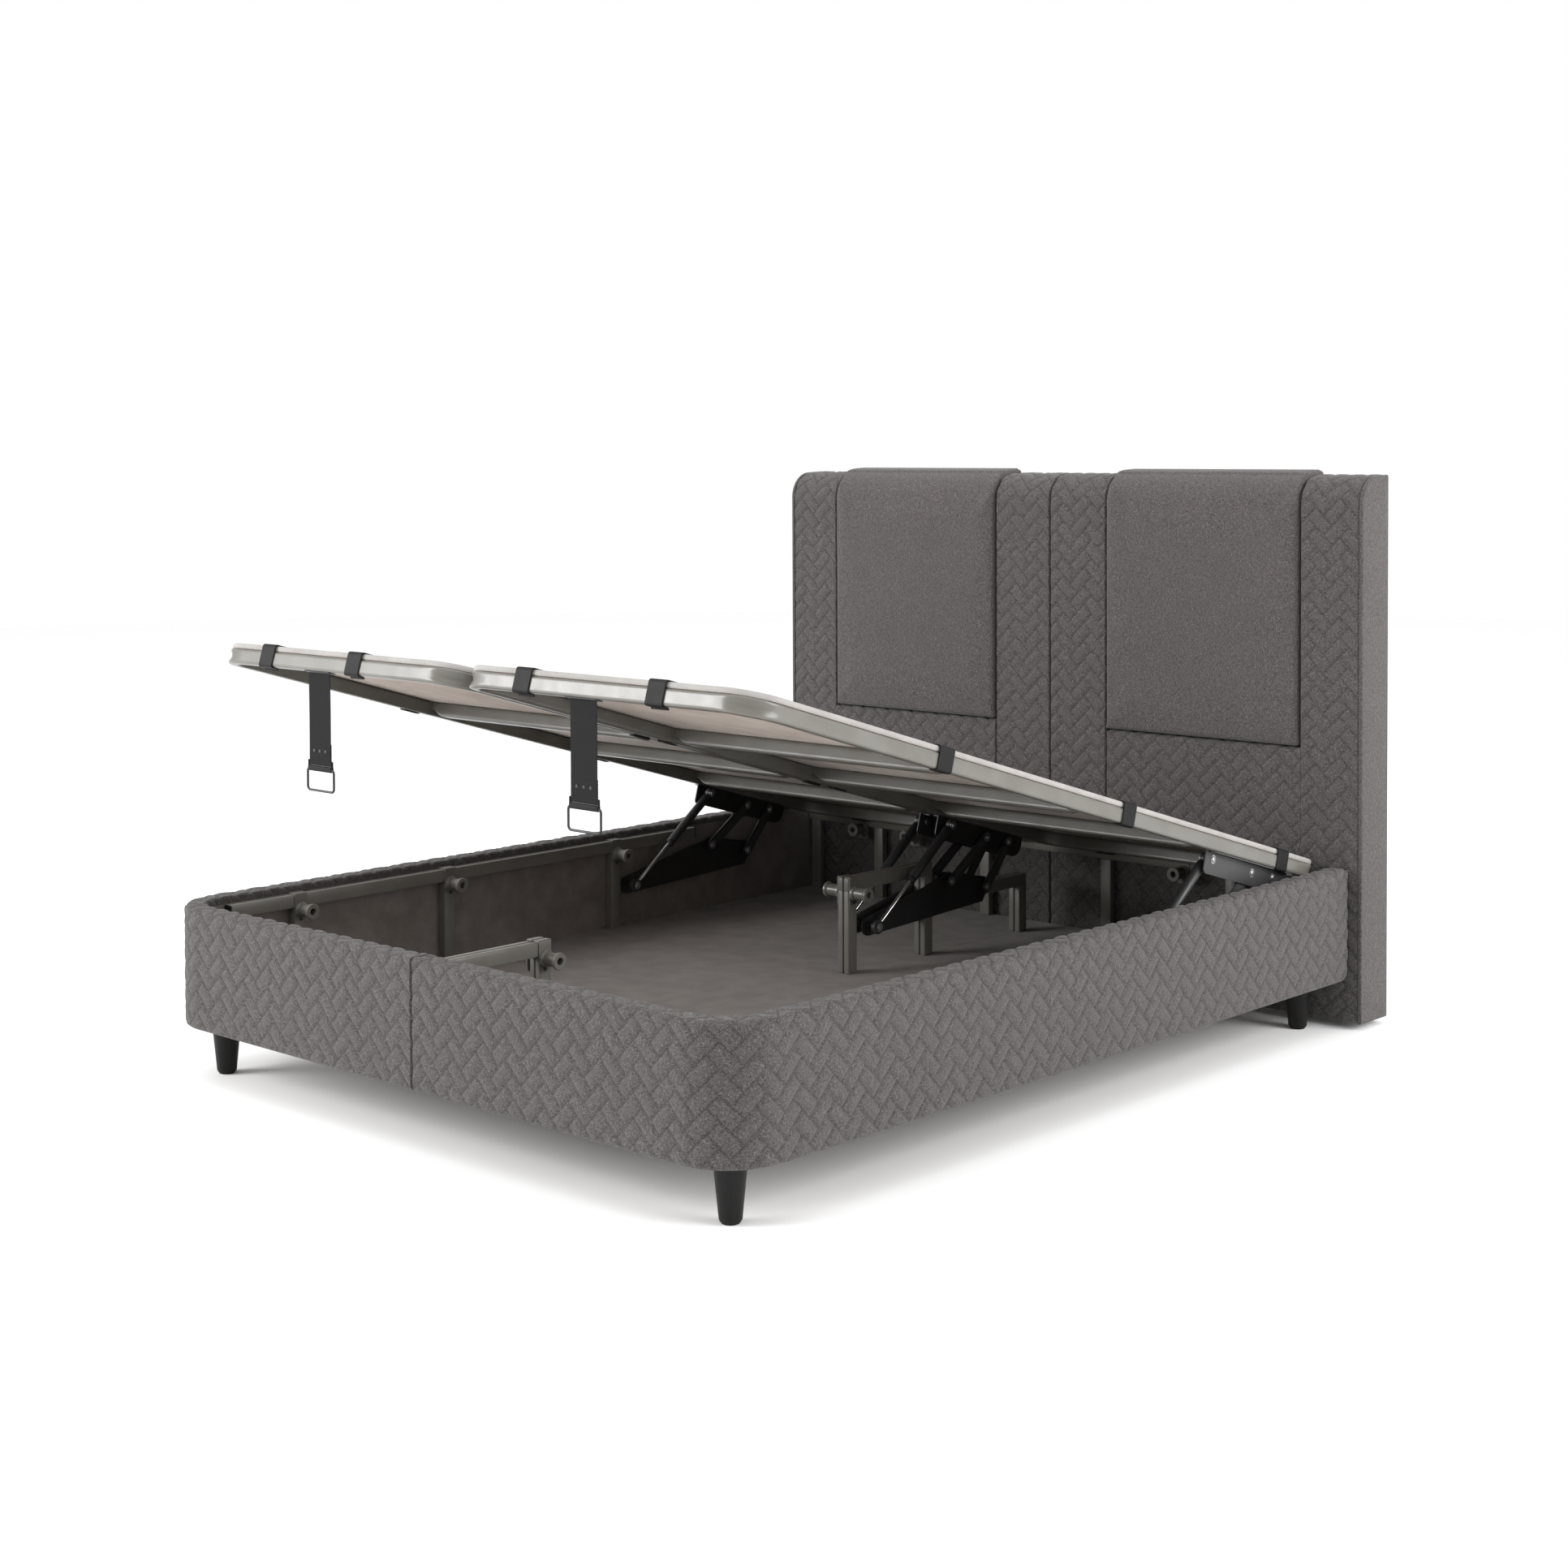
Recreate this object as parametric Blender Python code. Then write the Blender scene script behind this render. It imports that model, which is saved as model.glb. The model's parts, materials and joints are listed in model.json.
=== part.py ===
"""Storage bed base: upholstered box with a headboard and two lifting half platforms.

Metres, +Z up, foot end towards -Y. Sizes below are measured from the middle of the foot
panel's outer face at floor level; the parent empty moves the whole bed so that the origin
is under the middle of its bounding box. The platforms are modelled shut, and an empty on
each lift axis turns them to the open rest position.
"""

import math

import bmesh
import bpy
from mathutils import Matrix, Vector

# Mattress and base box
MATTRESS_WIDTH = 1.600
MATTRESS_LENGTH = 2.000
WIDTH_CLEARANCE = 0.005
LENGTH_CLEARANCE = 0.001
SKIRT_THICKNESS = 0.049
SKIRT_BOTTOM = 0.1148
SKIRT_TOP = 0.3721
SKIRT_CORNER_RADIUS = 0.128
SKIRT_EDGE_ROUND = 0.008
HEADBOARD_GAP = 0.005
FLOOR_THICKNESS = 0.010
FLOOR_TOP = 0.135
TOUCH_GAP = 0.0004
CUT_REACH = 0.010

# Headboard
HEADBOARD_WIDTH = 1.768
HEADBOARD_HEIGHT = 1.277
HEADBOARD_BOTTOM = 0.0143
CORE_THICKNESS = 0.070
UPHOLSTERY_THICKNESS = 0.050
UPHOLSTERY_TOP_ROUND = 0.045
INNER_STRIP_WIDTH = 0.172
OUTER_STRIP_WIDTH = 0.164
PAD_BOTTOM = 0.640
PAD_PROUD = 0.012
TOP_FALL = 0.012

# Legs
LEG_BOTTOM_RADIUS = 0.020
LEG_TOP_RADIUS = 0.033
LEG_INSET_SIDE = 0.048
LEG_INSET_FOOT = 0.048
LEG_INSET_HEAD = 0.062
CENTER_LEG_PLACE = 1.050

# Steel box frames
RAIL_TOP = 0.356
RAIL_HEIGHT = 0.030
SIDE_RAIL_WIDTH = 0.0243
SIDE_RAIL_START = 0.130
SIDE_RAIL_END = 1.560
POST_WIDTH = 0.030
BRACKET_STATIONS = (0.3105, 0.7376, 1.2756)
CENTER_RAIL_HALF = 0.0165
FRONT_CENTER_POSTS = (0.170, 0.330)
REAR_CENTER_POSTS = (1.270, 1.545, 1.915)
REAR_LOW_RAIL_TOP = 0.280

# Hook brackets
BRACKET_WIDTH = 0.033
BRACKET_SHEET = 0.003
BRACKET_DROP = 0.062
BOSS_RADIUS = 0.0175
BOSS_LENGTH = 0.045
BOSS_HEIGHT = 0.325
BOSS_SOCKET_RADIUS = 0.007
BOSS_SOCKET_DEPTH = 0.030

# Half platforms
PLATFORM_MIDDLE_GAP = 0.010
PLATFORM_END_CLEARANCE = 0.006
TUBE_WIDTH = 0.025
TUBE_HEIGHT = 0.032
TUBE_CORNER_RADIUS = 0.075
CROSSBAR_WIDTH = 0.030
CROSSBARS = (0.610, 1.065, 1.520)
BOARD_THICKNESS = 0.012
BOARD_INSET = 0.003
SHUT_GAP = 0.001

# Open rest position of the platform's front top edge, and its slope
OPEN_FRONT_Y = 0.1175
OPEN_FRONT_Z = 0.933
OPEN_TILT = math.radians(16.09)

# Lift linkage: places on the platform plate in the open position, as y and z
FRONT_ARM_PIN = (1.748, 0.394)
REAR_ARM_PIN = (1.8337, 0.3724)
STRUT_PIN = (1.592, 0.4445)
FRONT_ARM_REACH = 0.160
REAR_ARM_REACH = 0.130
STRUT_OPEN_LENGTH = 0.340
STRUT_SLOPE = math.radians(37.0)
PLATE_SHEET = 0.003
PLATE_DEPTH = 0.050
PLATE_FRONT_MARGIN = 0.030
PLATE_REAR_MARGIN = 0.060
PLATE_FLANGE = 0.022
PLATE_EDGE_GAP = 0.001
PIN_END = 0.0015
FLANGE_SETBACK = 0.010
STRUT_PIN_END = 0.002
ARM_SHEET = 0.003
ARM_WIDTH = 0.028
PIN_RADIUS = 0.004
RUNNING_CLEARANCE = 0.0004
OPEN_PIVOT_CLEARANCE = 0.0055
LAYER_GAP = 0.002
BASE_PLATE_MARGIN = 0.024
BASE_PLATE_STEP = 0.020
STRUT_TUBE_RADIUS = 0.011
STRUT_TUBE_LENGTH = 0.190
STRUT_NECK = 0.004
STRUT_BORE_RADIUS = 0.0056
STRUT_BORE_DEPTH = 0.080
STRUT_ROD_RADIUS = 0.005
STRUT_ROD_OVERLAP = 0.020
STRUT_EYE_RADIUS = 0.013
STRUT_FOOT_EYE_RADIUS = 0.0165
STRUT_FOOT_CLEARANCE = 0.0085
STRUT_EYE_WIDTH = 0.012

# Pull straps
STRAP_SHIFT = -0.035
STRAP_WIDTH = 0.074
STRAP_THICKNESS = 0.003
STRAP_LENGTH = 0.192
STRAP_TOP_GAP = 0.0015
SLIDE_WIDTH = 0.080
SLIDE_HEIGHT = 0.012
SLIDE_DEPTH = 0.0085
LOOP_WIDTH = 0.090
LOOP_HEIGHT = 0.047
LOOP_WIRE_RADIUS = 0.0019
LOOP_BORE_CLEARANCE = 0.0011
LOOP_CORNER_RADIUS = 0.008

# Worked out from the sizes above
INNER_HALF_WIDTH = MATTRESS_WIDTH / 2 + WIDTH_CLEARANCE
HALF_WIDTH = INNER_HALF_WIDTH + SKIRT_THICKNESS
BOX_LENGTH = SKIRT_THICKNESS + MATTRESS_LENGTH + LENGTH_CLEARANCE
BED_LENGTH = BOX_LENGTH + UPHOLSTERY_THICKNESS + TOUCH_GAP + CORE_THICKNESS
FLOOR_BOTTOM = FLOOR_TOP - FLOOR_THICKNESS
RAIL_INNER_X = INNER_HALF_WIDTH - TOUCH_GAP - SIDE_RAIL_WIDTH
TUBE_BOTTOM_SHUT = RAIL_TOP + BRACKET_SHEET + TOUCH_GAP + SHUT_GAP
BOARD_TOP_SHUT = TUBE_BOTTOM_SHUT + TUBE_HEIGHT + TOUCH_GAP + BOARD_THICKNESS
PLATFORM_FRONT_SHUT = SKIRT_THICKNESS + PLATFORM_END_CLEARANCE
PLATFORM_LENGTH = BOX_LENGTH - PLATFORM_FRONT_SHUT - PLATFORM_END_CLEARANCE
PLATFORM_INNER_X = PLATFORM_MIDDLE_GAP / 2
PLATFORM_OUTER_X = INNER_HALF_WIDTH - WIDTH_CLEARANCE
PLATFORM_MIDDLE_X = (PLATFORM_INNER_X + PLATFORM_OUTER_X) / 2
BED_OFFSET = Vector((0.0, -BED_LENGTH / 2, 0.0))
ARC_STEPS = 8
ROUND_STEPS = 16


def clear_scene():
    """Remove every object that the startup file holds."""
    for obj in list(bpy.data.objects):
        bpy.data.objects.remove(obj, do_unlink=True)


def finish(name, color, roughness, metallic=0.0):
    """Principled material with one colour."""
    material = bpy.data.materials.new(name)
    material.use_nodes = True
    shader = material.node_tree.nodes["Principled BSDF"]
    shader.inputs["Base Color"].default_value = (*color, 1.0)
    shader.inputs["Roughness"].default_value = roughness
    shader.inputs["Metallic"].default_value = metallic
    return material


def axis_empty(name, parent, location=(0.0, 0.0, 0.0), turn=0.0):
    """Empty that carries pieces, turned about X."""
    empty = bpy.data.objects.new(name, None)
    bpy.context.scene.collection.objects.link(empty)
    empty.parent = parent
    empty.location = location
    empty.rotation_euler = (turn, 0.0, 0.0)
    return empty


def add_piece(name, mesh_source, material, carrier, origin=(0.0, 0.0, 0.0)):
    """Object from a bmesh, with its mesh moved so that origin lies on the carrier."""
    bmesh.ops.translate(mesh_source, verts=mesh_source.verts, vec=-Vector(origin))
    bmesh.ops.recalc_face_normals(mesh_source, faces=mesh_source.faces)
    mesh = bpy.data.meshes.new(name)
    mesh_source.to_mesh(mesh)
    mesh_source.free()
    mesh.materials.append(material)
    obj = bpy.data.objects.new(name, mesh)
    bpy.context.scene.collection.objects.link(obj)
    obj.parent = carrier
    return obj


def prism(outline, axis, low, high):
    """Bmesh of a flat outline pushed along one axis, from low to high."""
    place = {
        "X": lambda a, b: (low, a, b),
        "Y": lambda a, b: (a, low, b),
        "Z": lambda a, b: (a, b, low),
    }[axis]
    travel = Vector([(high - low) * (letter == axis) for letter in "XYZ"])
    solid = bmesh.new()
    face = solid.faces.new([solid.verts.new(place(a, b)) for a, b in outline])
    grown = bmesh.ops.extrude_face_region(solid, geom=[face])
    moved = [item for item in grown["geom"] if isinstance(item, bmesh.types.BMVert)]
    bmesh.ops.translate(solid, verts=moved, vec=travel)
    return solid


def box(low, high):
    """Bmesh of a box between two corners."""
    outline = [(low[1], low[2]), (high[1], low[2]), (high[1], high[2]), (low[1], high[2])]
    return prism(outline, "X", low[0], high[0])


def arc(center, radius, start, end, steps=ARC_STEPS):
    """Points along an arc, angles in degrees."""
    points = []
    for step in range(steps + 1):
        angle = math.radians(start + (end - start) * step / steps)
        points.append((center[0] + radius * math.cos(angle), center[1] + radius * math.sin(angle)))
    return points


def rounded_rectangle(low, high, radii, steps=ARC_STEPS):
    """Outline with one radius for each corner, from the low corner anticlockwise."""
    corners = [
        ((low[0], low[1]), (1, 1), 180),
        ((high[0], low[1]), (-1, 1), 270),
        ((high[0], high[1]), (-1, -1), 0),
        ((low[0], high[1]), (1, -1), 90),
    ]
    points = []
    for (corner, inward, start), radius in zip(corners, radii):
        if radius <= 0:
            points.append(corner)
            continue
        center = (corner[0] + inward[0] * radius, corner[1] + inward[1] * radius)
        points.extend(arc(center, radius, start, start + 90, steps))
    return points


def slot_outline(start, end, radius, steps=ARC_STEPS):
    """Outline of a bar with round ends about two points."""
    angle = math.degrees(math.atan2(end[1] - start[1], end[0] - start[0]))
    return arc(end, radius, angle - 90, angle + 90, steps) + arc(start, radius, angle + 90, angle + 270, steps)


def pin_mesh(center, radius, low, high, axis="X"):
    """Bmesh of a round bar along X through a point of the y, z plane."""
    return prism(arc(center, radius, 0, 360, ROUND_STEPS)[:-1], axis, low, high)


def combine(target, tool_mesh, operation, carrier, origin=(0.0, 0.0, 0.0)):
    """Boolean of a target with a hidden tool."""
    count = len(target.modifiers) + 1
    tool = add_piece(f"{target.name}_tool_{count}", tool_mesh, target.data.materials[0], carrier, origin)
    tool.hide_render = True
    tool.display_type = "WIRE"
    modifier = target.modifiers.new(f"{operation.lower()}_{count}", "BOOLEAN")
    modifier.operation = operation
    modifier.solver = "EXACT"
    modifier.object = tool


def flip_outline(outline, side):
    """Mirror an x, y outline for the left side."""
    return [(side * x, y) for x, y in outline]


def span(side, near, far):
    """Low and high x of a piece that lies from near to far on one side."""
    return min(side * near, side * far), max(side * near, side * far)


def turn_point(point, center, angle):
    """Turn a y, z point about +X."""
    y, z = point[0] - center[0], point[1] - center[1]
    return (
        center[0] + y * math.cos(angle) - z * math.sin(angle),
        center[1] + y * math.sin(angle) + z * math.cos(angle),
    )


def lift_center():
    """Centre of the turn that carries the shut front edge to the open one."""
    shut = (PLATFORM_FRONT_SHUT, BOARD_TOP_SHUT)
    rise = (OPEN_FRONT_Y - shut[0], OPEN_FRONT_Z - shut[1])
    factor = -0.5 / math.tan(OPEN_TILT / 2)
    return (
        (shut[0] + OPEN_FRONT_Y) / 2 - rise[1] * factor,
        (shut[1] + OPEN_FRONT_Z) / 2 + rise[0] * factor,
    )


def base_pivot(open_pin, reach):
    """Fixed pivot from which an arm reaches its pin both shut and open."""
    shut_pin = turn_point(open_pin, lift_center(), OPEN_TILT)
    middle = ((open_pin[0] + shut_pin[0]) / 2, (open_pin[1] + shut_pin[1]) / 2)
    travel = (open_pin[0] - shut_pin[0], open_pin[1] - shut_pin[1])
    length = math.hypot(*travel)
    across = (-travel[1] / length, travel[0] / length)
    return (middle[0] + reach * across[0], middle[1] + reach * across[1])


def strut_foot():
    """Fixed lower pivot of the gas strut."""
    return (
        STRUT_PIN[0] - STRUT_OPEN_LENGTH * math.cos(STRUT_SLOPE),
        STRUT_PIN[1] - STRUT_OPEN_LENGTH * math.sin(STRUT_SLOPE),
    )


def soften_edges(obj, width, segments=3, angle=60):
    """Bevel on the sharp edges of a piece."""
    modifier = obj.modifiers.new("soft_edges", "BEVEL")
    modifier.width = width
    modifier.segments = segments
    modifier.limit_method = "ANGLE"
    modifier.angle_limit = math.radians(angle)


def build_skirt(side, label, materials, bed):
    """Half of the upholstered skirt: half the foot, one rounded corner and one side."""
    outer = arc((HALF_WIDTH - SKIRT_CORNER_RADIUS, SKIRT_CORNER_RADIUS), SKIRT_CORNER_RADIUS, -90, 0)
    inner_radius = SKIRT_CORNER_RADIUS - SKIRT_THICKNESS
    inner = arc((HALF_WIDTH - SKIRT_CORNER_RADIUS, SKIRT_CORNER_RADIUS), inner_radius, 0, -90)
    outline = [(TOUCH_GAP, 0.0), *outer, (HALF_WIDTH, BOX_LENGTH - HEADBOARD_GAP)]
    outline += [(INNER_HALF_WIDTH, BOX_LENGTH - HEADBOARD_GAP), *inner, (TOUCH_GAP, SKIRT_THICKNESS)]
    solid = prism(flip_outline(outline, side), "Z", SKIRT_BOTTOM, SKIRT_TOP)
    skirt = add_piece(f"skirt_{label}", solid, materials["fabric"], bed)
    soften_edges(skirt, SKIRT_EDGE_ROUND, segments=2, angle=70)


def build_floor(side, label, materials, bed):
    """Floor board of one storage bay."""
    low = (TOUCH_GAP, SKIRT_THICKNESS + TOUCH_GAP)
    high = (INNER_HALF_WIDTH - TOUCH_GAP, BOX_LENGTH - HEADBOARD_GAP)
    radius = SKIRT_CORNER_RADIUS - SKIRT_THICKNESS - TOUCH_GAP
    outline = rounded_rectangle(low, high, (0, radius, 0, 0))
    solid = prism(flip_outline(outline, side), "Z", FLOOR_BOTTOM, FLOOR_TOP)
    add_piece(f"floor_board_{label}", solid, materials["board"], bed)


def comb_outline(start, end, posts, top, steps_down=()):
    """Side outline of a rail on posts. steps_down holds (y, lower top) pairs after which the rail is lower."""
    floor = FLOOR_TOP + TOUCH_GAP
    upper = [(start, top)]
    level = top
    under = []
    for position, lower in steps_down:
        upper += [(position, level), (position, lower)]
        level = lower
    upper.append((end, level))
    for post in reversed(posts):
        low, high = post - POST_WIDTH / 2, post + POST_WIDTH / 2
        for edge in (high, low):
            reach = edge + (TOUCH_GAP if edge == high else -TOUCH_GAP)
            passed = [lower for position, lower in steps_down if reach > position]
            beneath = (passed[-1] if passed else top) - RAIL_HEIGHT
            corners = [(edge, beneath), (edge, floor)]
            under += corners if edge == high else corners[::-1]
    if under[0][0] >= end - TOUCH_GAP:
        under = under[1:]
    if under[-1][0] <= start + TOUCH_GAP:
        under = under[:-1]
    return upper, under


def comb_solid(start, end, posts, top, low_x, high_x, steps_down=()):
    """Solid of a welded rail on posts."""
    upper, under = comb_outline(start, end, posts, top, steps_down)
    points = list(upper)
    level = (steps_down[-1][1] if steps_down else top) - RAIL_HEIGHT
    if under[0][1] > FLOOR_TOP + RAIL_HEIGHT / 2:
        points.append((end, level))
    points += under
    if under[-1][1] > FLOOR_TOP + RAIL_HEIGHT / 2:
        points.append((start, top - RAIL_HEIGHT))
    return prism(points, "X", low_x, high_x)


def build_side_frame(side, label, materials, bed):
    """Welded rail and posts inside one side panel."""
    low_x, high_x = span(side, RAIL_INNER_X, INNER_HALF_WIDTH - TOUCH_GAP)
    solid = comb_solid(SIDE_RAIL_START, SIDE_RAIL_END, BRACKET_STATIONS, RAIL_TOP, low_x, high_x)
    add_piece(f"side_frame_{label}", solid, materials["steel"], bed)


def build_center_frames(materials, bed):
    """Middle rails between the two storage bays, one at the foot and one at the head."""
    first = SKIRT_THICKNESS + TOUCH_GAP
    last = FRONT_CENTER_POSTS[-1] + POST_WIDTH / 2
    solid = comb_solid(first, last, FRONT_CENTER_POSTS, RAIL_TOP, -CENTER_RAIL_HALF, CENTER_RAIL_HALF)
    add_piece("center_frame_foot", solid, materials["steel"], bed)
    first = REAR_CENTER_POSTS[0] - POST_WIDTH / 2
    last = REAR_CENTER_POSTS[-1] + POST_WIDTH / 2
    step = (REAR_CENTER_POSTS[1] + POST_WIDTH / 2, REAR_LOW_RAIL_TOP)
    solid = comb_solid(
        first, last, REAR_CENTER_POSTS, RAIL_TOP, -CENTER_RAIL_HALF, CENTER_RAIL_HALF, (step,)
    )
    add_piece("center_frame_head", solid, materials["steel"], bed)


def build_bracket(side, label, number, station, materials, bed):
    """Bent hook over the side rail, with a socket boss that points inwards."""
    sheet_x = RAIL_INNER_X - TOUCH_GAP
    tab_top = RAIL_TOP + TOUCH_GAP + BRACKET_SHEET
    outline = [
        (sheet_x, tab_top),
        (INNER_HALF_WIDTH - 2 * TOUCH_GAP, tab_top),
        (INNER_HALF_WIDTH - 2 * TOUCH_GAP, tab_top - BRACKET_SHEET),
        (sheet_x, tab_top - BRACKET_SHEET),
        (sheet_x, tab_top - BRACKET_DROP),
        (sheet_x - BRACKET_SHEET, tab_top - BRACKET_DROP),
        (sheet_x - BRACKET_SHEET, tab_top),
    ]
    solid = prism(flip_outline(outline, side), "Y", station - BRACKET_WIDTH / 2, station + BRACKET_WIDTH / 2)
    hook = add_piece(f"hook_bracket_{label}_{number}", solid, materials["steel"], bed)
    root = sheet_x - BRACKET_SHEET / 2
    tip = sheet_x - BOSS_LENGTH
    boss = pin_mesh((station, BOSS_HEIGHT), BOSS_RADIUS, *span(side, tip, root))
    combine(hook, boss, "UNION", bed)
    socket = pin_mesh(
        (station, BOSS_HEIGHT), BOSS_SOCKET_RADIUS, *span(side, tip - BOSS_SOCKET_DEPTH, tip + BOSS_SOCKET_DEPTH)
    )
    combine(hook, socket, "DIFFERENCE", bed)


def turned(profile, center, steps=ROUND_STEPS):
    """Bmesh turned about a vertical line from radius and height pairs that start and end on it."""
    solid = bmesh.new()
    verts = [solid.verts.new((radius, 0.0, height)) for radius, height in profile]
    edges = [solid.edges.new(pair) for pair in zip(verts, verts[1:])]
    bmesh.ops.spin(
        solid, geom=verts + edges, axis=(0, 0, 1), cent=(0, 0, 0), steps=steps, angle=2 * math.pi, use_merge=True
    )
    bmesh.ops.remove_doubles(solid, verts=solid.verts, dist=0.00001)
    bmesh.ops.translate(solid, verts=solid.verts, vec=center)
    return solid


def build_legs(materials, bed):
    """Tapered round legs at the corners and under the middle."""
    side_x = INNER_HALF_WIDTH - LEG_INSET_SIDE
    foot_y = SKIRT_THICKNESS + LEG_INSET_FOOT
    head_y = BOX_LENGTH - HEADBOARD_GAP - LEG_INSET_HEAD
    places = {
        "leg_foot_left": (-side_x, foot_y),
        "leg_foot_right": (side_x, foot_y),
        "leg_head_left": (-side_x, head_y),
        "leg_head_right": (side_x, head_y),
        "leg_center": (0.0, CENTER_LEG_PLACE),
    }
    top = FLOOR_BOTTOM - TOUCH_GAP
    profile = [(0.0, top), (LEG_TOP_RADIUS, top), (LEG_BOTTOM_RADIUS, 0.0), (0.0, 0.0)]
    for name, (x, y) in places.items():
        leg = add_piece(name, turned(profile, (x, y, 0.0)), materials["black"], bed)
        leg.data.shade_smooth()
        leg.data.set_sharp_from_angle(angle=math.radians(40))


def headboard_top(depth):
    """Height of the headboard's top, which falls towards the front, at a depth behind its face."""
    whole = BED_LENGTH - BOX_LENGTH
    share = (whole - depth) / (whole - UPHOLSTERY_TOP_ROUND)
    return HEADBOARD_HEIGHT - TOP_FALL * share


def upholstery_outline(proud, bottom):
    """Side outline of upholstery with a rounded front top edge, standing proud of the headboard's face."""
    front = BOX_LENGTH - proud
    back = BOX_LENGTH + UPHOLSTERY_THICKNESS
    center = (BOX_LENGTH + UPHOLSTERY_TOP_ROUND, headboard_top(UPHOLSTERY_TOP_ROUND) - UPHOLSTERY_TOP_ROUND)
    rounded = arc(center, UPHOLSTERY_TOP_ROUND + proud, 180, 90)
    return [(back, bottom), (front, bottom), *rounded]


def build_headboard_core(materials, bed):
    """Covered board behind all the headboard's upholstery."""
    half = HEADBOARD_WIDTH / 2
    depth = UPHOLSTERY_THICKNESS + TOUCH_GAP
    front = BOX_LENGTH + depth
    outline = [(front, HEADBOARD_BOTTOM), (BED_LENGTH, HEADBOARD_BOTTOM)]
    outline += [(BED_LENGTH, HEADBOARD_HEIGHT), (front, headboard_top(depth))]
    add_piece("headboard_core", prism(outline, "X", -half, half), materials["fabric"], bed)


def build_headboard_half(side, label, materials, bed):
    """Upholstery of one headboard half: two quilted panels and a plain pad."""
    half = HEADBOARD_WIDTH / 2
    outer_start = half - OUTER_STRIP_WIDTH
    pad_start = INNER_STRIP_WIDTH + TOUCH_GAP
    back = BOX_LENGTH + UPHOLSTERY_THICKNESS
    strip = [*upholstery_outline(0.0, HEADBOARD_BOTTOM), (back, headboard_top(UPHOLSTERY_THICKNESS))]
    inner = prism(strip, "X", *span(side, TOUCH_GAP, INNER_STRIP_WIDTH))
    add_piece(f"headboard_inner_strip_{label}", inner, materials["fabric"], bed)
    outer = prism(strip, "X", *span(side, outer_start, half))
    outer = add_piece(f"headboard_outer_strip_{label}", outer, materials["fabric"], bed)
    low_x, high_x = span(side, pad_start, outer_start + OUTER_STRIP_WIDTH / 2)
    below_pad = box((low_x, BOX_LENGTH, HEADBOARD_BOTTOM), (high_x, back, PAD_BOTTOM - TOUCH_GAP))
    combine(outer, below_pad, "UNION", bed)
    pad = upholstery_outline(PAD_PROUD, PAD_BOTTOM)
    pad.append((BED_LENGTH, HEADBOARD_HEIGHT + PAD_PROUD))
    pad.append((BED_LENGTH, HEADBOARD_HEIGHT + TOUCH_GAP))
    pad.append((back, headboard_top(UPHOLSTERY_THICKNESS) + TOUCH_GAP))
    pad = prism(pad, "X", *span(side, pad_start, outer_start - TOUCH_GAP))
    add_piece(f"headboard_pad_{label}", pad, materials["fabric"], bed)


def platform_bays():
    """Start and end of each gap between the crossbars, measured along the platform."""
    edges = [TUBE_WIDTH]
    for middle in CROSSBARS:
        edges += [middle - CROSSBAR_WIDTH / 2, middle + CROSSBAR_WIDTH / 2]
    edges.append(PLATFORM_LENGTH - TUBE_WIDTH)
    return list(zip(edges[::2], edges[1::2]))


def build_platform(side, label, materials, lift, center):
    """Tube frame with crossbars and the board that lies on it."""
    front = PLATFORM_FRONT_SHUT
    origin = (0.0, *center)
    radii = (TUBE_CORNER_RADIUS,) * 4
    low = (PLATFORM_INNER_X, front)
    high = (PLATFORM_OUTER_X, front + PLATFORM_LENGTH)
    top = TUBE_BOTTOM_SHUT + TUBE_HEIGHT
    solid = prism(flip_outline(rounded_rectangle(low, high, radii), side), "Z", TUBE_BOTTOM_SHUT, top)
    frame = add_piece(f"platform_frame_{label}", solid, materials["steel"], lift, origin)
    inner_radius = TUBE_CORNER_RADIUS - TUBE_WIDTH
    for start, end in platform_bays():
        head_radius = inner_radius if end > CROSSBARS[-1] else 0
        foot_radius = inner_radius if start < CROSSBARS[0] - CROSSBAR_WIDTH else 0
        bay = rounded_rectangle(
            (PLATFORM_INNER_X + TUBE_WIDTH, front + start),
            (PLATFORM_OUTER_X - TUBE_WIDTH, front + end),
            (foot_radius, foot_radius, head_radius, head_radius),
        )
        cutter = prism(flip_outline(bay, side), "Z", TUBE_BOTTOM_SHUT - TUBE_WIDTH, top + TUBE_WIDTH)
        combine(frame, cutter, "DIFFERENCE", lift, origin)
    outline = rounded_rectangle(
        (low[0] + BOARD_INSET, low[1] + BOARD_INSET),
        (high[0] - BOARD_INSET, high[1] - BOARD_INSET),
        (TUBE_CORNER_RADIUS - BOARD_INSET,) * 4,
    )
    board = prism(flip_outline(outline, side), "Z", BOARD_TOP_SHUT - BOARD_THICKNESS, BOARD_TOP_SHUT)
    add_piece(f"platform_board_{label}", board, materials["board"], lift, origin)


def mechanism_layers(edge_x, inward):
    """Near and far x of each flat layer of a linkage beside one platform tube.

    edge_x is the tube's outer side and inward is +1 or -1, the way to the platform's middle.
    """
    web = edge_x + inward * (TUBE_WIDTH - PLATE_EDGE_GAP - PLATE_SHEET)
    arm = web + inward * (PLATE_SHEET + LAYER_GAP)
    strut = arm + inward * (ARM_SHEET + LAYER_GAP + STRUT_TUBE_RADIUS)
    base = web - inward * (PLATE_SHEET + LAYER_GAP)
    return {"web": web, "arm": arm, "strut": strut, "base": base}


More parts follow.
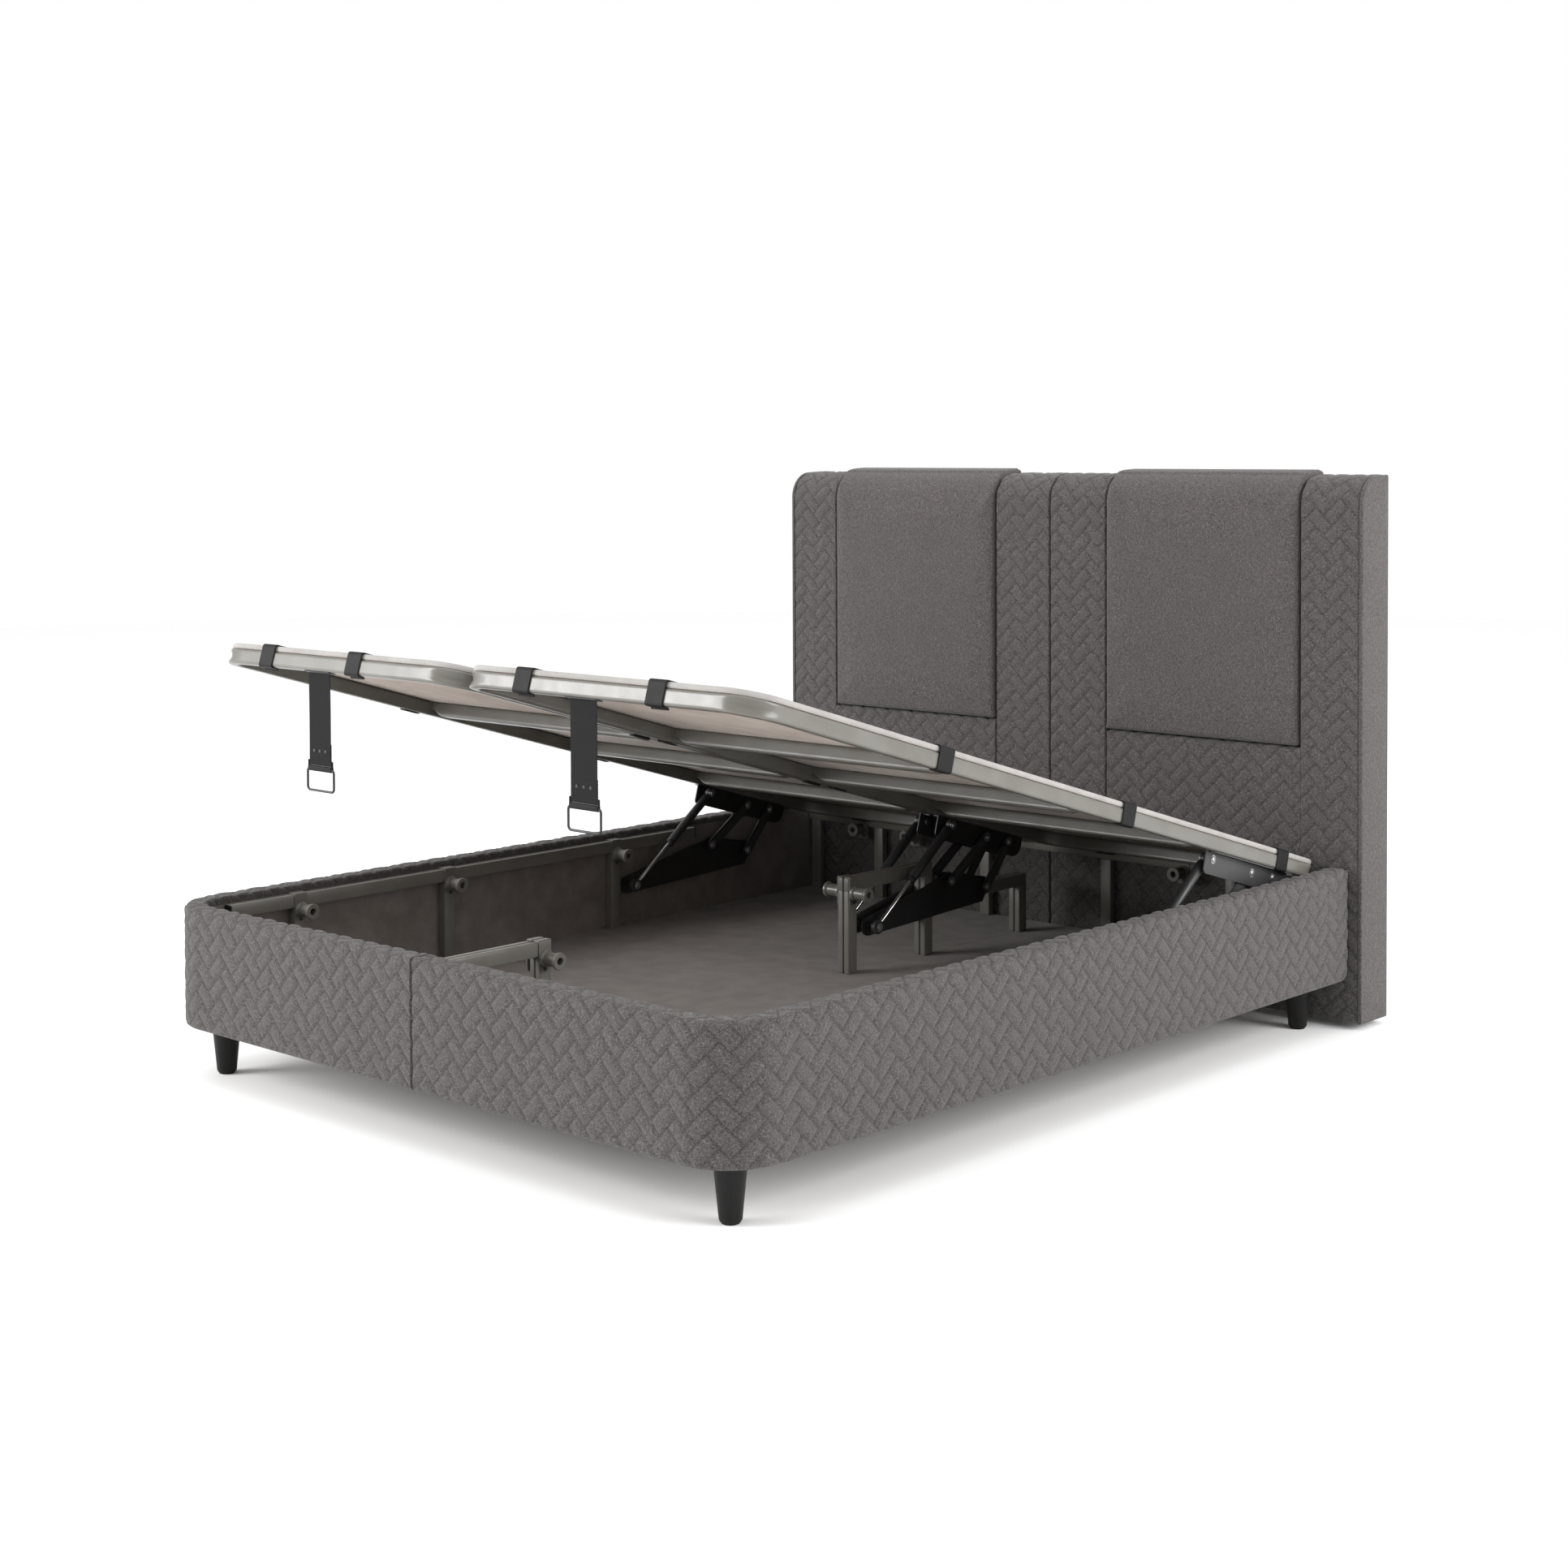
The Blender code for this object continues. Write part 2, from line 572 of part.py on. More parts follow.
def build_platform_plate(name, layers, inward, materials, lift, center):
    """Flanged plate under the platform tube, with the pins of both arms and the strut."""
    origin = (0.0, *center)
    pins = [turn_point(pin, center, OPEN_TILT) for pin in (STRUT_PIN, FRONT_ARM_PIN, REAR_ARM_PIN)]
    top = TUBE_BOTTOM_SHUT - TOUCH_GAP
    start = pins[0][0] - PLATE_FRONT_MARGIN
    end = pins[-1][0] + PLATE_REAR_MARGIN
    outline = rounded_rectangle((start, top - PLATE_DEPTH), (end, top), (0.010, 0.030, 0, 0), 5)
    web = layers["web"]
    solid = prism(outline, "X", *span(1, web, web + inward * PLATE_SHEET))
    plate = add_piece(name, solid, materials["black"], lift, origin)
    flange_x = span(1, web + inward * PLATE_SHEET / 2, web - inward * (PLATE_FLANGE - PLATE_SHEET))
    flange = box(
        (flange_x[0], start + FLANGE_SETBACK, top - PLATE_SHEET * 0.75),
        (flange_x[1], end - FLANGE_SETBACK, top),
    )
    combine(plate, flange, "UNION", lift, origin)
    arm_tip = layers["arm"] + inward * (ARM_SHEET + PIN_END)
    strut_tip = layers["strut"] + inward * (STRUT_EYE_WIDTH / 2 + STRUT_PIN_END)
    for pin, tip in zip(pins, (strut_tip, arm_tip, arm_tip)):
        x_span = span(1, web + inward * PLATE_SHEET / 2, tip)
        combine(plate, pin_mesh(pin, PIN_RADIUS, *x_span), "UNION", lift, origin)


def build_base_plate(name, layers, inward, materials, bed, pivots):
    """Fixed plate on the box frame, with the lower pins of both arms and the strut."""
    base = layers["base"]
    foot, front, rear = pivots
    margin = BASE_PLATE_MARGIN
    outline = [
        *arc(foot, margin, 135, 270, 6),
        (rear[0], foot[1] - margin + BASE_PLATE_STEP),
        *arc(rear, margin, -60, 75, 6),
        *arc(front, margin * 0.75, 80, 140, 4),
    ]
    solid = prism(outline, "X", *span(1, base, base - inward * PLATE_SHEET))
    plate = add_piece(name, solid, materials["black"], bed)
    arm_tip = layers["arm"] + inward * (ARM_SHEET + PIN_END)
    strut_tip = layers["strut"] + inward * (STRUT_EYE_WIDTH / 2 + STRUT_PIN_END)
    for pin, tip in zip(pivots, (strut_tip, arm_tip, arm_tip)):
        x_span = span(1, base - inward * PLATE_SHEET / 2, tip)
        combine(plate, pin_mesh(pin, PIN_RADIUS, *x_span), "UNION", bed)


def build_arm(name, layers, inward, materials, bed, pivot, open_pin):
    """Flat link that turns on the base plate and carries the platform plate's pin."""
    carrier = axis_empty(f"{name}_axis", bed, (0.0, *pivot))
    origin = (0.0, *pivot)
    x_span = span(1, layers["arm"], layers["arm"] + inward * ARM_SHEET)
    outline = slot_outline(pivot, open_pin, ARM_WIDTH / 2, 8)
    arm = add_piece(name, prism(outline, "X", *x_span), materials["black"], carrier, origin)
    for point, radius in (
        (pivot, PIN_RADIUS + RUNNING_CLEARANCE),
        (open_pin, PIN_RADIUS + OPEN_PIVOT_CLEARANCE),
    ):
        hole = pin_mesh(point, radius, x_span[0] - ARM_SHEET, x_span[1] + ARM_SHEET)
        combine(arm, hole, "DIFFERENCE", carrier, origin)


def strut_transform(middle_x, angle, point):
    """Matrix that lays a part turned about Z along the strut, from its upper pin."""
    direction = Matrix.Rotation(angle - math.pi / 2, 4, "X")
    return Matrix.Translation((middle_x, *point)) @ direction


def build_strut(name, layers, inward, materials, bed):
    """Gas strut: tube hung on the platform plate, rod that reaches the base plate."""
    upper = STRUT_PIN
    middle_x = layers["strut"]
    carrier = axis_empty(f"{name}_axis", bed, (0.0, *upper))
    origin = (0.0, *upper)
    place = strut_transform(middle_x, STRUT_SLOPE, upper)
    half_eye = STRUT_EYE_WIDTH / 2
    eye_x = (middle_x - half_eye, middle_x + half_eye)
    reach = (eye_x[0] - CUT_REACH, eye_x[1] + CUT_REACH)
    length = STRUT_TUBE_LENGTH
    tube_profile = [
        (0.0, -STRUT_EYE_RADIUS / 2),
        (STRUT_TUBE_RADIUS, -STRUT_EYE_RADIUS / 2 - STRUT_NECK),
        (STRUT_TUBE_RADIUS, -length),
        (STRUT_BORE_RADIUS, -length),
        (STRUT_BORE_RADIUS, STRUT_BORE_DEPTH - length),
        (0.0, STRUT_BORE_DEPTH - length),
    ]
    tube_mesh = turned(tube_profile, (0, 0, 0))
    bmesh.ops.transform(tube_mesh, matrix=place, verts=tube_mesh.verts)
    tube = add_piece(f"{name}_tube", tube_mesh, materials["black"], carrier, origin)
    combine(tube, pin_mesh(upper, STRUT_EYE_RADIUS, *eye_x), "UNION", carrier, origin)
    bore = pin_mesh(upper, PIN_RADIUS + RUNNING_CLEARANCE, *reach)
    combine(tube, bore, "DIFFERENCE", carrier, origin)
    start = STRUT_ROD_OVERLAP - length
    end = STRUT_EYE_RADIUS / 2 - STRUT_OPEN_LENGTH
    rod_profile = [(0.0, start), (STRUT_ROD_RADIUS, start), (STRUT_ROD_RADIUS, end), (0.0, end)]
    rod_mesh = turned(rod_profile, (0, 0, 0))
    bmesh.ops.transform(rod_mesh, matrix=place, verts=rod_mesh.verts)
    rod = add_piece(f"{name}_rod", rod_mesh, materials["chrome"], carrier, origin)
    lower = strut_foot()
    combine(rod, pin_mesh(lower, STRUT_FOOT_EYE_RADIUS, *eye_x), "UNION", carrier, origin)
    bore = pin_mesh(lower, PIN_RADIUS + STRUT_FOOT_CLEARANCE, *reach)
    combine(rod, bore, "DIFFERENCE", carrier, origin)


def build_mechanisms(side, label, materials, bed, lift, center):
    """Both linkages of one half platform: at its outer tube and at its middle tube."""
    pivots = (
        strut_foot(),
        base_pivot(FRONT_ARM_PIN, FRONT_ARM_REACH),
        base_pivot(REAR_ARM_PIN, REAR_ARM_REACH),
    )
    for where, edge, inward in (
        ("outer", side * PLATFORM_OUTER_X, -side),
        ("inner", side * PLATFORM_INNER_X, side),
    ):
        layers = mechanism_layers(edge, inward)
        tag = f"{label}_{where}"
        build_platform_plate(f"platform_plate_{tag}", layers, inward, materials, lift, center)
        build_base_plate(f"base_plate_{tag}", layers, inward, materials, bed, pivots)
        build_arm(f"front_arm_{tag}", layers, inward, materials, bed, pivots[1], FRONT_ARM_PIN)
        build_arm(f"rear_arm_{tag}", layers, inward, materials, bed, pivots[2], REAR_ARM_PIN)
        build_strut(f"gas_strut_{tag}", layers, inward, materials, bed)


def strap_top():
    """Point where the pull strap hangs from the front tube, with the platform open."""
    shut = (PLATFORM_FRONT_SHUT + TUBE_WIDTH / 2, TUBE_BOTTOM_SHUT)
    y, z = turn_point(shut, lift_center(), -OPEN_TILT)
    return (y, z - STRAP_TOP_GAP - math.sin(OPEN_TILT) * STRAP_THICKNESS)


def build_strap(side, label, materials, bed):
    """Webbing pull strap, the slide on its end and the wire loop that turns in the slide."""
    top_y, top_z = strap_top()
    carrier = axis_empty(f"pull_strap_axis_{label}", bed, (0.0, top_y, top_z))
    origin = (0.0, top_y, top_z)
    x = side * PLATFORM_MIDDLE_X + STRAP_SHIFT
    half = STRAP_THICKNESS / 2
    bottom = top_z - STRAP_LENGTH
    strap = box((x - STRAP_WIDTH / 2, top_y - half, bottom), (x + STRAP_WIDTH / 2, top_y + half, top_z))
    add_piece(f"pull_strap_{label}", strap, materials["webbing"], carrier, origin)
    slide_top = bottom - TOUCH_GAP
    axis_z = slide_top - SLIDE_HEIGHT / 2
    slide_x = (x - SLIDE_WIDTH / 2, x + SLIDE_WIDTH / 2)
    slide_mesh = box(
        (slide_x[0], top_y - SLIDE_DEPTH / 2, slide_top - SLIDE_HEIGHT), (slide_x[1], top_y + SLIDE_DEPTH / 2, slide_top)
    )
    slide = add_piece(f"strap_slide_{label}", slide_mesh, materials["black"], carrier, origin)
    bore_radius = LOOP_WIRE_RADIUS + LOOP_BORE_CLEARANCE
    bore = pin_mesh((top_y, axis_z), bore_radius, slide_x[0] - CUT_REACH, slide_x[1] + CUT_REACH)
    combine(slide, bore, "DIFFERENCE", carrier, origin)
    loop_carrier = axis_empty(f"pull_loop_axis_{label}", bed, (0.0, top_y, axis_z))
    outline = rounded_rectangle(
        (x - LOOP_WIDTH / 2, -LOOP_HEIGHT), (x + LOOP_WIDTH / 2, 0.0), (LOOP_CORNER_RADIUS,) * 4, 5
    )
    curve = bpy.data.curves.new(f"pull_loop_{label}", "CURVE")
    curve.dimensions = "3D"
    curve.bevel_depth = LOOP_WIRE_RADIUS
    curve.bevel_resolution = 2
    spline = curve.splines.new("POLY")
    spline.points.add(len(outline) - 1)
    for point, (px, pz) in zip(spline.points, outline):
        point.co = (px, 0.0, pz, 1.0)
    spline.use_cyclic_u = True
    curve.materials.append(materials["black"])
    loop = bpy.data.objects.new(f"pull_loop_{label}", curve)
    bpy.context.scene.collection.objects.link(loop)
    loop.parent = loop_carrier


def build_bed():
    """Model every piece of the bed."""
    clear_scene()
    materials = {
        "fabric": finish("woven_upholstery", (0.16, 0.145, 0.135), 0.95),
        "steel": finish("powder_coated_steel", (0.37, 0.36, 0.32), 0.35, 0.1),
        "board": finish("covered_board", (0.60, 0.56, 0.52), 0.8),
        "black": finish("black_steel", (0.022, 0.022, 0.022), 0.4, 0.2),
        "chrome": finish("strut_rod_steel", (0.45, 0.45, 0.46), 0.2, 1.0),
        "webbing": finish("strap_webbing", (0.04, 0.04, 0.043), 0.9),
    }
    bed = axis_empty("bed", None, BED_OFFSET)
    center = lift_center()
    build_center_frames(materials, bed)
    build_legs(materials, bed)
    build_headboard_core(materials, bed)
    for side, label in ((-1, "left"), (1, "right")):
        build_skirt(side, label, materials, bed)
        build_floor(side, label, materials, bed)
        build_side_frame(side, label, materials, bed)
        for number, station in enumerate(BRACKET_STATIONS, start=1):
            build_bracket(side, label, number, station, materials, bed)
        build_headboard_half(side, label, materials, bed)
        lift = axis_empty(f"{label}_lift_axis", bed, (0.0, *center), -OPEN_TILT)
        build_platform(side, label, materials, lift, center)
        build_mechanisms(side, label, materials, bed, lift, center)
        build_strap(side, label, materials, bed)


build_bed()
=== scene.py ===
"""Looks of a gas-lift storage bed base: two half platforms over an upholstered box with a headboard.

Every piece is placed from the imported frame, in metres, with +Y towards the headboard.
"""

import json
import logging
import math
from dataclasses import dataclass
from enum import Enum
from typing import Callable, Optional, Sequence

import bmesh
import bpy
import numpy as np
from mathutils import Matrix, Vector


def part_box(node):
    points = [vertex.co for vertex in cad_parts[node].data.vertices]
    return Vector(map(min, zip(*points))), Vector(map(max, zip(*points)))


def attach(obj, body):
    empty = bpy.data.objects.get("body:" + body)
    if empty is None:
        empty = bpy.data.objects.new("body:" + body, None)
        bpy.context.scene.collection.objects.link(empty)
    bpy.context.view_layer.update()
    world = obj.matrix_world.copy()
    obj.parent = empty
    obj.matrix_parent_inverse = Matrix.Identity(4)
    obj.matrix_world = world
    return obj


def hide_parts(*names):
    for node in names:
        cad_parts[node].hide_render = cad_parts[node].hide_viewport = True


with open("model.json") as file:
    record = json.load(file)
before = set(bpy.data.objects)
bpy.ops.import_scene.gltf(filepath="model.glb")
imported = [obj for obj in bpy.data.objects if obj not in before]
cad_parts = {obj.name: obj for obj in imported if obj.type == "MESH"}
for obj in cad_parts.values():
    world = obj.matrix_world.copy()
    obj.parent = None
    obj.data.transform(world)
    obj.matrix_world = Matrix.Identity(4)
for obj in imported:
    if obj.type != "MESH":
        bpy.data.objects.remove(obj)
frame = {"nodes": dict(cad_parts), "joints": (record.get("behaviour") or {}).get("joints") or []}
LOG = logging.getLogger("bed_base")

Array = np.ndarray
Pair = tuple[np.ndarray, np.ndarray]
Floats = Sequence[float]
Solid = bmesh.types.BMesh
Tree = bpy.types.NodeTree
Node = bpy.types.Node
Socket = bpy.types.NodeSocket
shift = Matrix.Translation

FULL_TURN = 2 * math.pi
LAID = Matrix.Rotation(math.pi / 2, 4, "Y")
MERGE = 1e-6
SMOOTH_ANGLE = math.radians(38)
WELD = 0.0004


class Side(Enum):
    """Half of the bed, seen from the foot."""

    LEFT = -1
    RIGHT = 1

    @property
    def label(self) -> str:
        """The side's word in node and body names."""
        return self.name.lower()


class Tube(Enum):
    """Which long tube of a half platform a linkage hangs on."""

    OUTER = "outer"
    INNER = "inner"


# Finishes


def linear(hex_color: str) -> tuple[float, float, float, float]:
    """Turn an sRGB hex value to linear.

    Args:
        hex_color: a colour such as "#6F6A68".

    Returns:
        Red, green, blue and alpha for a colour socket.
    """
    parts = [int(hex_color[i : i + 2], 16) / 255 for i in (1, 3, 5)]
    values = [c / 12.92 if c <= 0.04045 else ((c + 0.055) / 1.055) ** 2.4 for c in parts]
    return (*values, 1.0)


def add_node(
    tree: Tree, kind: str, inputs: Optional[dict] = None, to: Optional[Socket] = None, **settings: object
) -> Node:
    """Add one shader node.

    Args:
        tree: the material's node tree.
        kind: the node's type, after its common first word.
        inputs: socket name or number to a value, an output socket, or a node whose first output feeds it.
        to: the socket that the node's first output feeds.
        settings: the node's own attributes.

    Returns:
        The new node.
    """
    made = tree.nodes.new("ShaderNode" + kind)
    for name, value in settings.items():
        setattr(made, name, value)
    for key, value in (inputs or {}).items():
        value = value.outputs[0] if isinstance(value, Node) else value
        if isinstance(value, Socket):
            tree.links.new(value, made.inputs[key])
        else:
            made.inputs[key].default_value = value
    if to is not None:
        tree.links.new(made.outputs[0], to)
    return made


def color_steps(
    tree: Tree, source: Node, steps: Sequence[tuple[float, str]], to: Optional[Socket] = None
) -> Node:
    """Colour ramp through the given places.

    Args:
        tree: the material's node tree.
        source: the node whose first output the ramp reads.
        steps: place from 0 to 1 and hex colour, in order.
        to: the socket that the ramp feeds.

    Returns:
        The ramp node.
    """
    ramp = add_node(tree, "ValToRGB", {0: source}, to)
    stops = ramp.color_ramp.elements
    while len(stops) < len(steps):
        stops.new(0.5)
    for stop, (place, hex_color) in zip(stops, steps):
        stop.position = place
        stop.color = linear(hex_color)
    return ramp


@dataclass(frozen=True)
class Finish:
    """What every finish has: a name, and constants set straight on the shader."""

    name: str
    roughness: float = 0.5
    metallic: float = 0.0
    ior: Optional[float] = 1.5
    coat: float = 0.0
    sheen: float = 0.0

    def material(self) -> bpy.types.Material:
        """The finish's material, made once and then shared."""
        made = bpy.data.materials.get(self.name)
        if made is None:
            made = bpy.data.materials.new(self.name)
            made.use_nodes = True
            shader = made.node_tree.nodes["Principled BSDF"]
            values = {
                "Roughness": self.roughness, "Metallic": self.metallic, "Coat Weight": self.coat,
                "Coat Roughness": 0.12, "Sheen Weight": self.sheen, "Sheen Roughness": 0.45,
            }
            if self.ior is not None:
                values["IOR"] = self.ior
            for socket, value in values.items():
                shader.inputs[socket].default_value = value
            self.draw(made.node_tree, shader)
        return made

    def draw(self, tree: Tree, shader: Node) -> None:
        """Add the finish's pattern. Each finish has its own."""

    def gloss(self, tree: Tree, shader: Node, source: Node, less: float, more: float, **span: float) -> None:
        """Let the roughness follow a pattern.

        Args:
            tree: the material's node tree.
            shader: the Principled node.
            source: the pattern.
            less: how far the roughness falls below the finish's own.
            more: how far it rises above.
            span: From_Min and From_Max of the pattern.
        """
        inputs = {"Value": source, "To Min": self.roughness - less, "To Max": self.roughness + more}
        inputs.update({name.replace("_", " "): value for name, value in span.items()})
        add_node(tree, "MapRange", inputs, shader.inputs["Roughness"])

    @staticmethod
    def bump(tree: Tree, shader: Node, height: Node, depth_mm: float, strength: float) -> None:
        """Feed a height to the shader's normal.

        Args:
            tree: the material's node tree.
            shader: the Principled node.
            height: node that gives a height from 0 to 1.
            depth_mm: what a height of 1 stands for.
            strength: share of the effect.
        """
        inputs = {"Height": height, "Distance": depth_mm / 1000, "Strength": strength}
        add_node(tree, "Bump", inputs, shader.inputs["Normal"])

    @staticmethod
    def grain(tree: Tree, size_mm: float, stretch: Floats = (1, 1, 1), detail: float = 2.0) -> Node:
        """Noise with lumps of one size.

        Args:
            tree: the material's node tree.
            size_mm: size of a lump.
            stretch: how much longer a lump is along each axis.
            detail: finer layers of noise.

        Returns:
            The node, whose first output runs from 0 to 1.
        """
        where = add_node(tree, "TexCoord").outputs["Object"]
        scale = [1000 / size_mm / share for share in stretch]
        placed = add_node(tree, "Mapping", {"Vector": where, "Scale": scale})
        return add_node(tree, "TexNoise", {"Vector": placed, "Scale": 1.0, "Detail": detail})


@dataclass(frozen=True)
class WovenCloth(Finish):
    """Melange woven polyester: warp and weft in mixed yarns, matt, with a fuzz that lightens the rims."""

    darkest: str = "#2C2928"
    middle: str = "#474342"
    lightest: str = "#6A6664"
    # seam_shade: share of painted shade that darkens the cloth's colour in the quilted seam grooves.
    seam_shade: float = 0.34
    thread_mm: float = 1.7  # the real thread is near 0.7 mm, drawn coarser so that it shows
    fleck_mm: float = 1.9

    def draw(self, tree: Tree, shader: Node) -> None:
        """Flecks of mixed yarn along warp and weft, painted shade in the quilted seam grooves and a plain
        weave bump.
        """
        across = self.grain(tree, self.fleck_mm, (2.6, 2.6, 0.8), 3.0)
        upright = self.grain(tree, self.fleck_mm, (0.8, 0.8, 2.6), 3.0)
        both = add_node(tree, "Math", {0: across, 1: upright}, operation="ADD")
        half = add_node(tree, "Math", {0: both, 1: 0.5}, operation="MULTIPLY")
        yarn = color_steps(tree, half, ((0.36, self.darkest), (0.5, self.middle), (0.66, self.lightest)))
        cloud = self.grain(tree, 160.0)
        tone = add_node(tree, "MapRange", {"Value": cloud, "To Min": 0.93, "To Max": 1.07})
        # Painted shade: the colour darkens by seam_shade where the seam layer marks the quilted grooves.
        seam = add_node(tree, "Attribute", attribute_name="seam").outputs["Fac"]
        shade = add_node(tree, "MapRange", {"Value": seam, "To Min": 1.0, "To Max": 1 - self.seam_shade})
        gain = add_node(tree, "Math", {0: tone, 1: shade}, operation="MULTIPLY")
        add_node(tree, "VectorMath", {0: yarn, "Scale": gain}, shader.inputs["Base Color"], operation="SCALE")
        where = add_node(tree, "TexCoord").outputs["Object"]
        split = add_node(tree, "SeparateXYZ", {0: where}).outputs
        wide = add_node(tree, "Math", {0: split[0]}, operation="ABSOLUTE")
        run = add_node(tree, "Math", {0: wide, 1: split[1]}, operation="ADD")
        waves = []
        for source in (run, split[2]):
            turns = {0: source, 1: FULL_TURN * 1000 / self.thread_mm}
            turn = add_node(tree, "Math", turns, operation="MULTIPLY")
            waves.append(add_node(tree, "Math", {0: turn}, operation="SINE"))
        weave = add_node(tree, "Math", dict(enumerate(waves)), operation="MULTIPLY")
        rough = add_node(tree, "Math", {0: weave, 1: half}, operation="ADD")
        self.bump(tree, shader, rough, 0.35, 0.55)


@dataclass(frozen=True)
class PowderCoat(Finish):
    """Powder-coated steel: an even skin that levels into faint orange peel under a soft gloss."""

    color: str = "#66645E"
    shade: str = "#5D5A54"
    worn: str = "#77746E"
    peel_mm: float = 2.2

    def draw(self, tree: Tree, shader: Node) -> None:
        """Cloudy tone, lighter rubbed edges, uneven gloss and orange peel."""
        tint = color_steps(tree, self.grain(tree, 90.0), ((0.35, self.shade), (0.65, self.color)))
        form = add_node(tree, "NewGeometry").outputs["Pointiness"]
        edge = add_node(tree, "MapRange", {"Value": form, "From Min": 0.53, "From Max": 0.62})
        mixed = {"Factor": edge, 6: tint, 7: linear(self.worn)}
        color = add_node(tree, "Mix", mixed, data_type="RGBA").outputs[2]
        tree.links.new(color, shader.inputs["Base Color"])
        smear = self.grain(tree, 35.0, (1, 3, 1), 4.0)
        self.gloss(tree, shader, smear, 0.05, 0.07, From_Min=0.3, From_Max=0.7)
        self.bump(tree, shader, self.grain(tree, self.peel_mm), 0.06, 0.35)


@dataclass(frozen=True)
class TurnedMetal(Finish):
    """Bright machined or plated steel: fine rings round the work and small differences of gloss."""

    color: str = "#B9B9BA"
    shade: str = "#8F8F90"
    scratch_mm: float = 0.8

    def draw(self, tree: Tree, shader: Node) -> None:
        """Fine scratches in colour, gloss and bump."""
        scratch = self.grain(tree, self.scratch_mm, (6, 1, 1), 3.0)
        color_steps(tree, scratch, ((0.3, self.shade), (0.7, self.color)), shader.inputs["Base Color"])
        self.gloss(tree, shader, scratch, 0.06, 0.1)
        self.bump(tree, shader, scratch, 0.02, 0.3)


@dataclass(frozen=True)
class MouldedPlastic(Finish):
    """Moulded plastic with a fine spark-eroded grain: even colour, dull gloss."""

    color: str = "#111111"
    shade: str = "#0C0C0C"
    grit_mm: float = 0.9  # the real grit is near 0.2 mm, drawn coarser so that it shows

    def draw(self, tree: Tree, shader: Node) -> None:
        """Grit bump with slight tone and gloss changes."""
        cloud = self.grain(tree, 25.0, detail=3.0)
        color_steps(tree, cloud, ((0.3, self.shade), (0.7, self.color)), shader.inputs["Base Color"])
        self.gloss(tree, shader, cloud, 0.06, 0.06)
        self.bump(tree, shader, self.grain(tree, self.grit_mm), 0.08, 0.4)


@dataclass(frozen=True)
class LacqueredBeech(Finish):
    """Turned beech under black lacquer: the grain still shows as fine upright ridges in a satin skin."""

    color: str = "#141312"
    shade: str = "#0C0B0B"
    grain_mm: float = 1.6

    def draw(self, tree: Tree, shader: Node) -> None:
        """Upright grain in tone and bump."""
        ridges = self.grain(tree, self.grain_mm, (1, 1, 22), 4.0)
        color_steps(tree, ridges, ((0.35, self.shade), (0.65, self.color)), shader.inputs["Base Color"])
        self.bump(tree, shader, ridges, 0.12, 0.35)


@dataclass(frozen=True)
class Nonwoven(Finish):
    """Thermally bonded nonwoven over board: matted fibres and a grid of small bond dots."""

    color: str = "#D6D2CD"
    shade: str = "#C2BCB5"
    dot_mm: float = 4.0
    dot_depth_mm: float = 0.15

    def draw(self, tree: Tree, shader: Node) -> None:
        """Matted fibres in tone and bump, with bond dots pressed in."""
        fibre = self.grain(tree, 1.3, (3, 1, 1), 4.0)
        cloud = self.grain(tree, 60.0, detail=3.0)
        mixed = add_node(tree, "Math", {0: fibre, 1: cloud}, operation="ADD")
        half = add_node(tree, "Math", {0: mixed, 1: 0.5}, operation="MULTIPLY")
        color_steps(tree, half, ((0.38, self.shade), (0.6, self.color)), shader.inputs["Base Color"])
        where = add_node(tree, "TexCoord").outputs["Object"]
        grid = {"Vector": where, "Scale": 1000 / self.dot_mm, "Randomness": 0.15}
        dots = add_node(tree, "TexVoronoi", grid).outputs["Distance"]
        height = add_node(tree, "MapRange", {"Value": dots, "From Max": 0.35})
        total = add_node(tree, "Math", {0: height, 1: fibre}, operation="ADD")
        self.bump(tree, shader, total, self.dot_depth_mm, 0.5)


@dataclass(frozen=True)
class Webbing(Finish):
    """Polypropylene webbing: a broken twill in dark filament yarn with a slight synthetic shine."""

    color: str = "#262627"
    shade: str = "#121213"
    rib_mm: float = 3.2
    zigzag: float = 0.0123

    def draw(self, tree: Tree, shader: Node) -> None:
        """Twill ribs that zigzag along the strap, drawn on its own map."""
        where = add_node(tree, "TexCoord").outputs["UV"]
        split = add_node(tree, "SeparateXYZ", {0: where}).outputs
        fold = add_node(tree, "Math", {0: split[0], 1: self.zigzag}, operation="PINGPONG")
        slope = add_node(tree, "Math", {0: fold, 1: split[1]}, operation="ADD")
        turn = add_node(tree, "Math", {0: slope, 1: FULL_TURN * 1000 / self.rib_mm}, operation="MULTIPLY")
        wave = add_node(tree, "Math", {0: turn}, operation="SINE")
        fibre = self.grain(tree, 1.0, (1, 1, 3), 3.0)
        mixed = add_node(tree, "Math", {0: wave, 1: 0.35, 2: fibre}, operation="MULTIPLY_ADD")
        color_steps(tree, mixed, ((0.25, self.shade), (0.75, self.color)), shader.inputs["Base Color"])
        self.bump(tree, shader, mixed, 0.5, 0.7)


UPHOLSTERY = WovenCloth("melange_woven_polyester", roughness=0.95, sheen=0.12)
LINING = Nonwoven("needle_felt_lining", roughness=0.95, color="#756E69", shade="#635C57", sheen=0.1)
GREY_STEEL = PowderCoat("warm_grey_powder_coat", roughness=0.34, coat=0.15)
BLACK_STEEL = PowderCoat(
    "black_powder_coat", roughness=0.42, color="#242425", shade="#1B1B1C", worn="#3A3A3B", peel_mm=1.4
)
BLACK_PLASTIC = MouldedPlastic("moulded_black_polypropylene", roughness=0.6, ior=1.3)
PLATED_STEEL = TurnedMetal("zinc_plated_steel", roughness=0.36, metallic=1.0, ior=None)
ROD_STEEL = TurnedMetal(
    "hard_chromed_rod", roughness=0.16, metallic=1.0, ior=None, color="#C9C9CB", shade="#AFAFB1"
)
BOARD_COVER = Nonwoven("board_stretch_cover", roughness=0.9, color="#9E9B98", shade="#8E8A87", sheen=0.1)
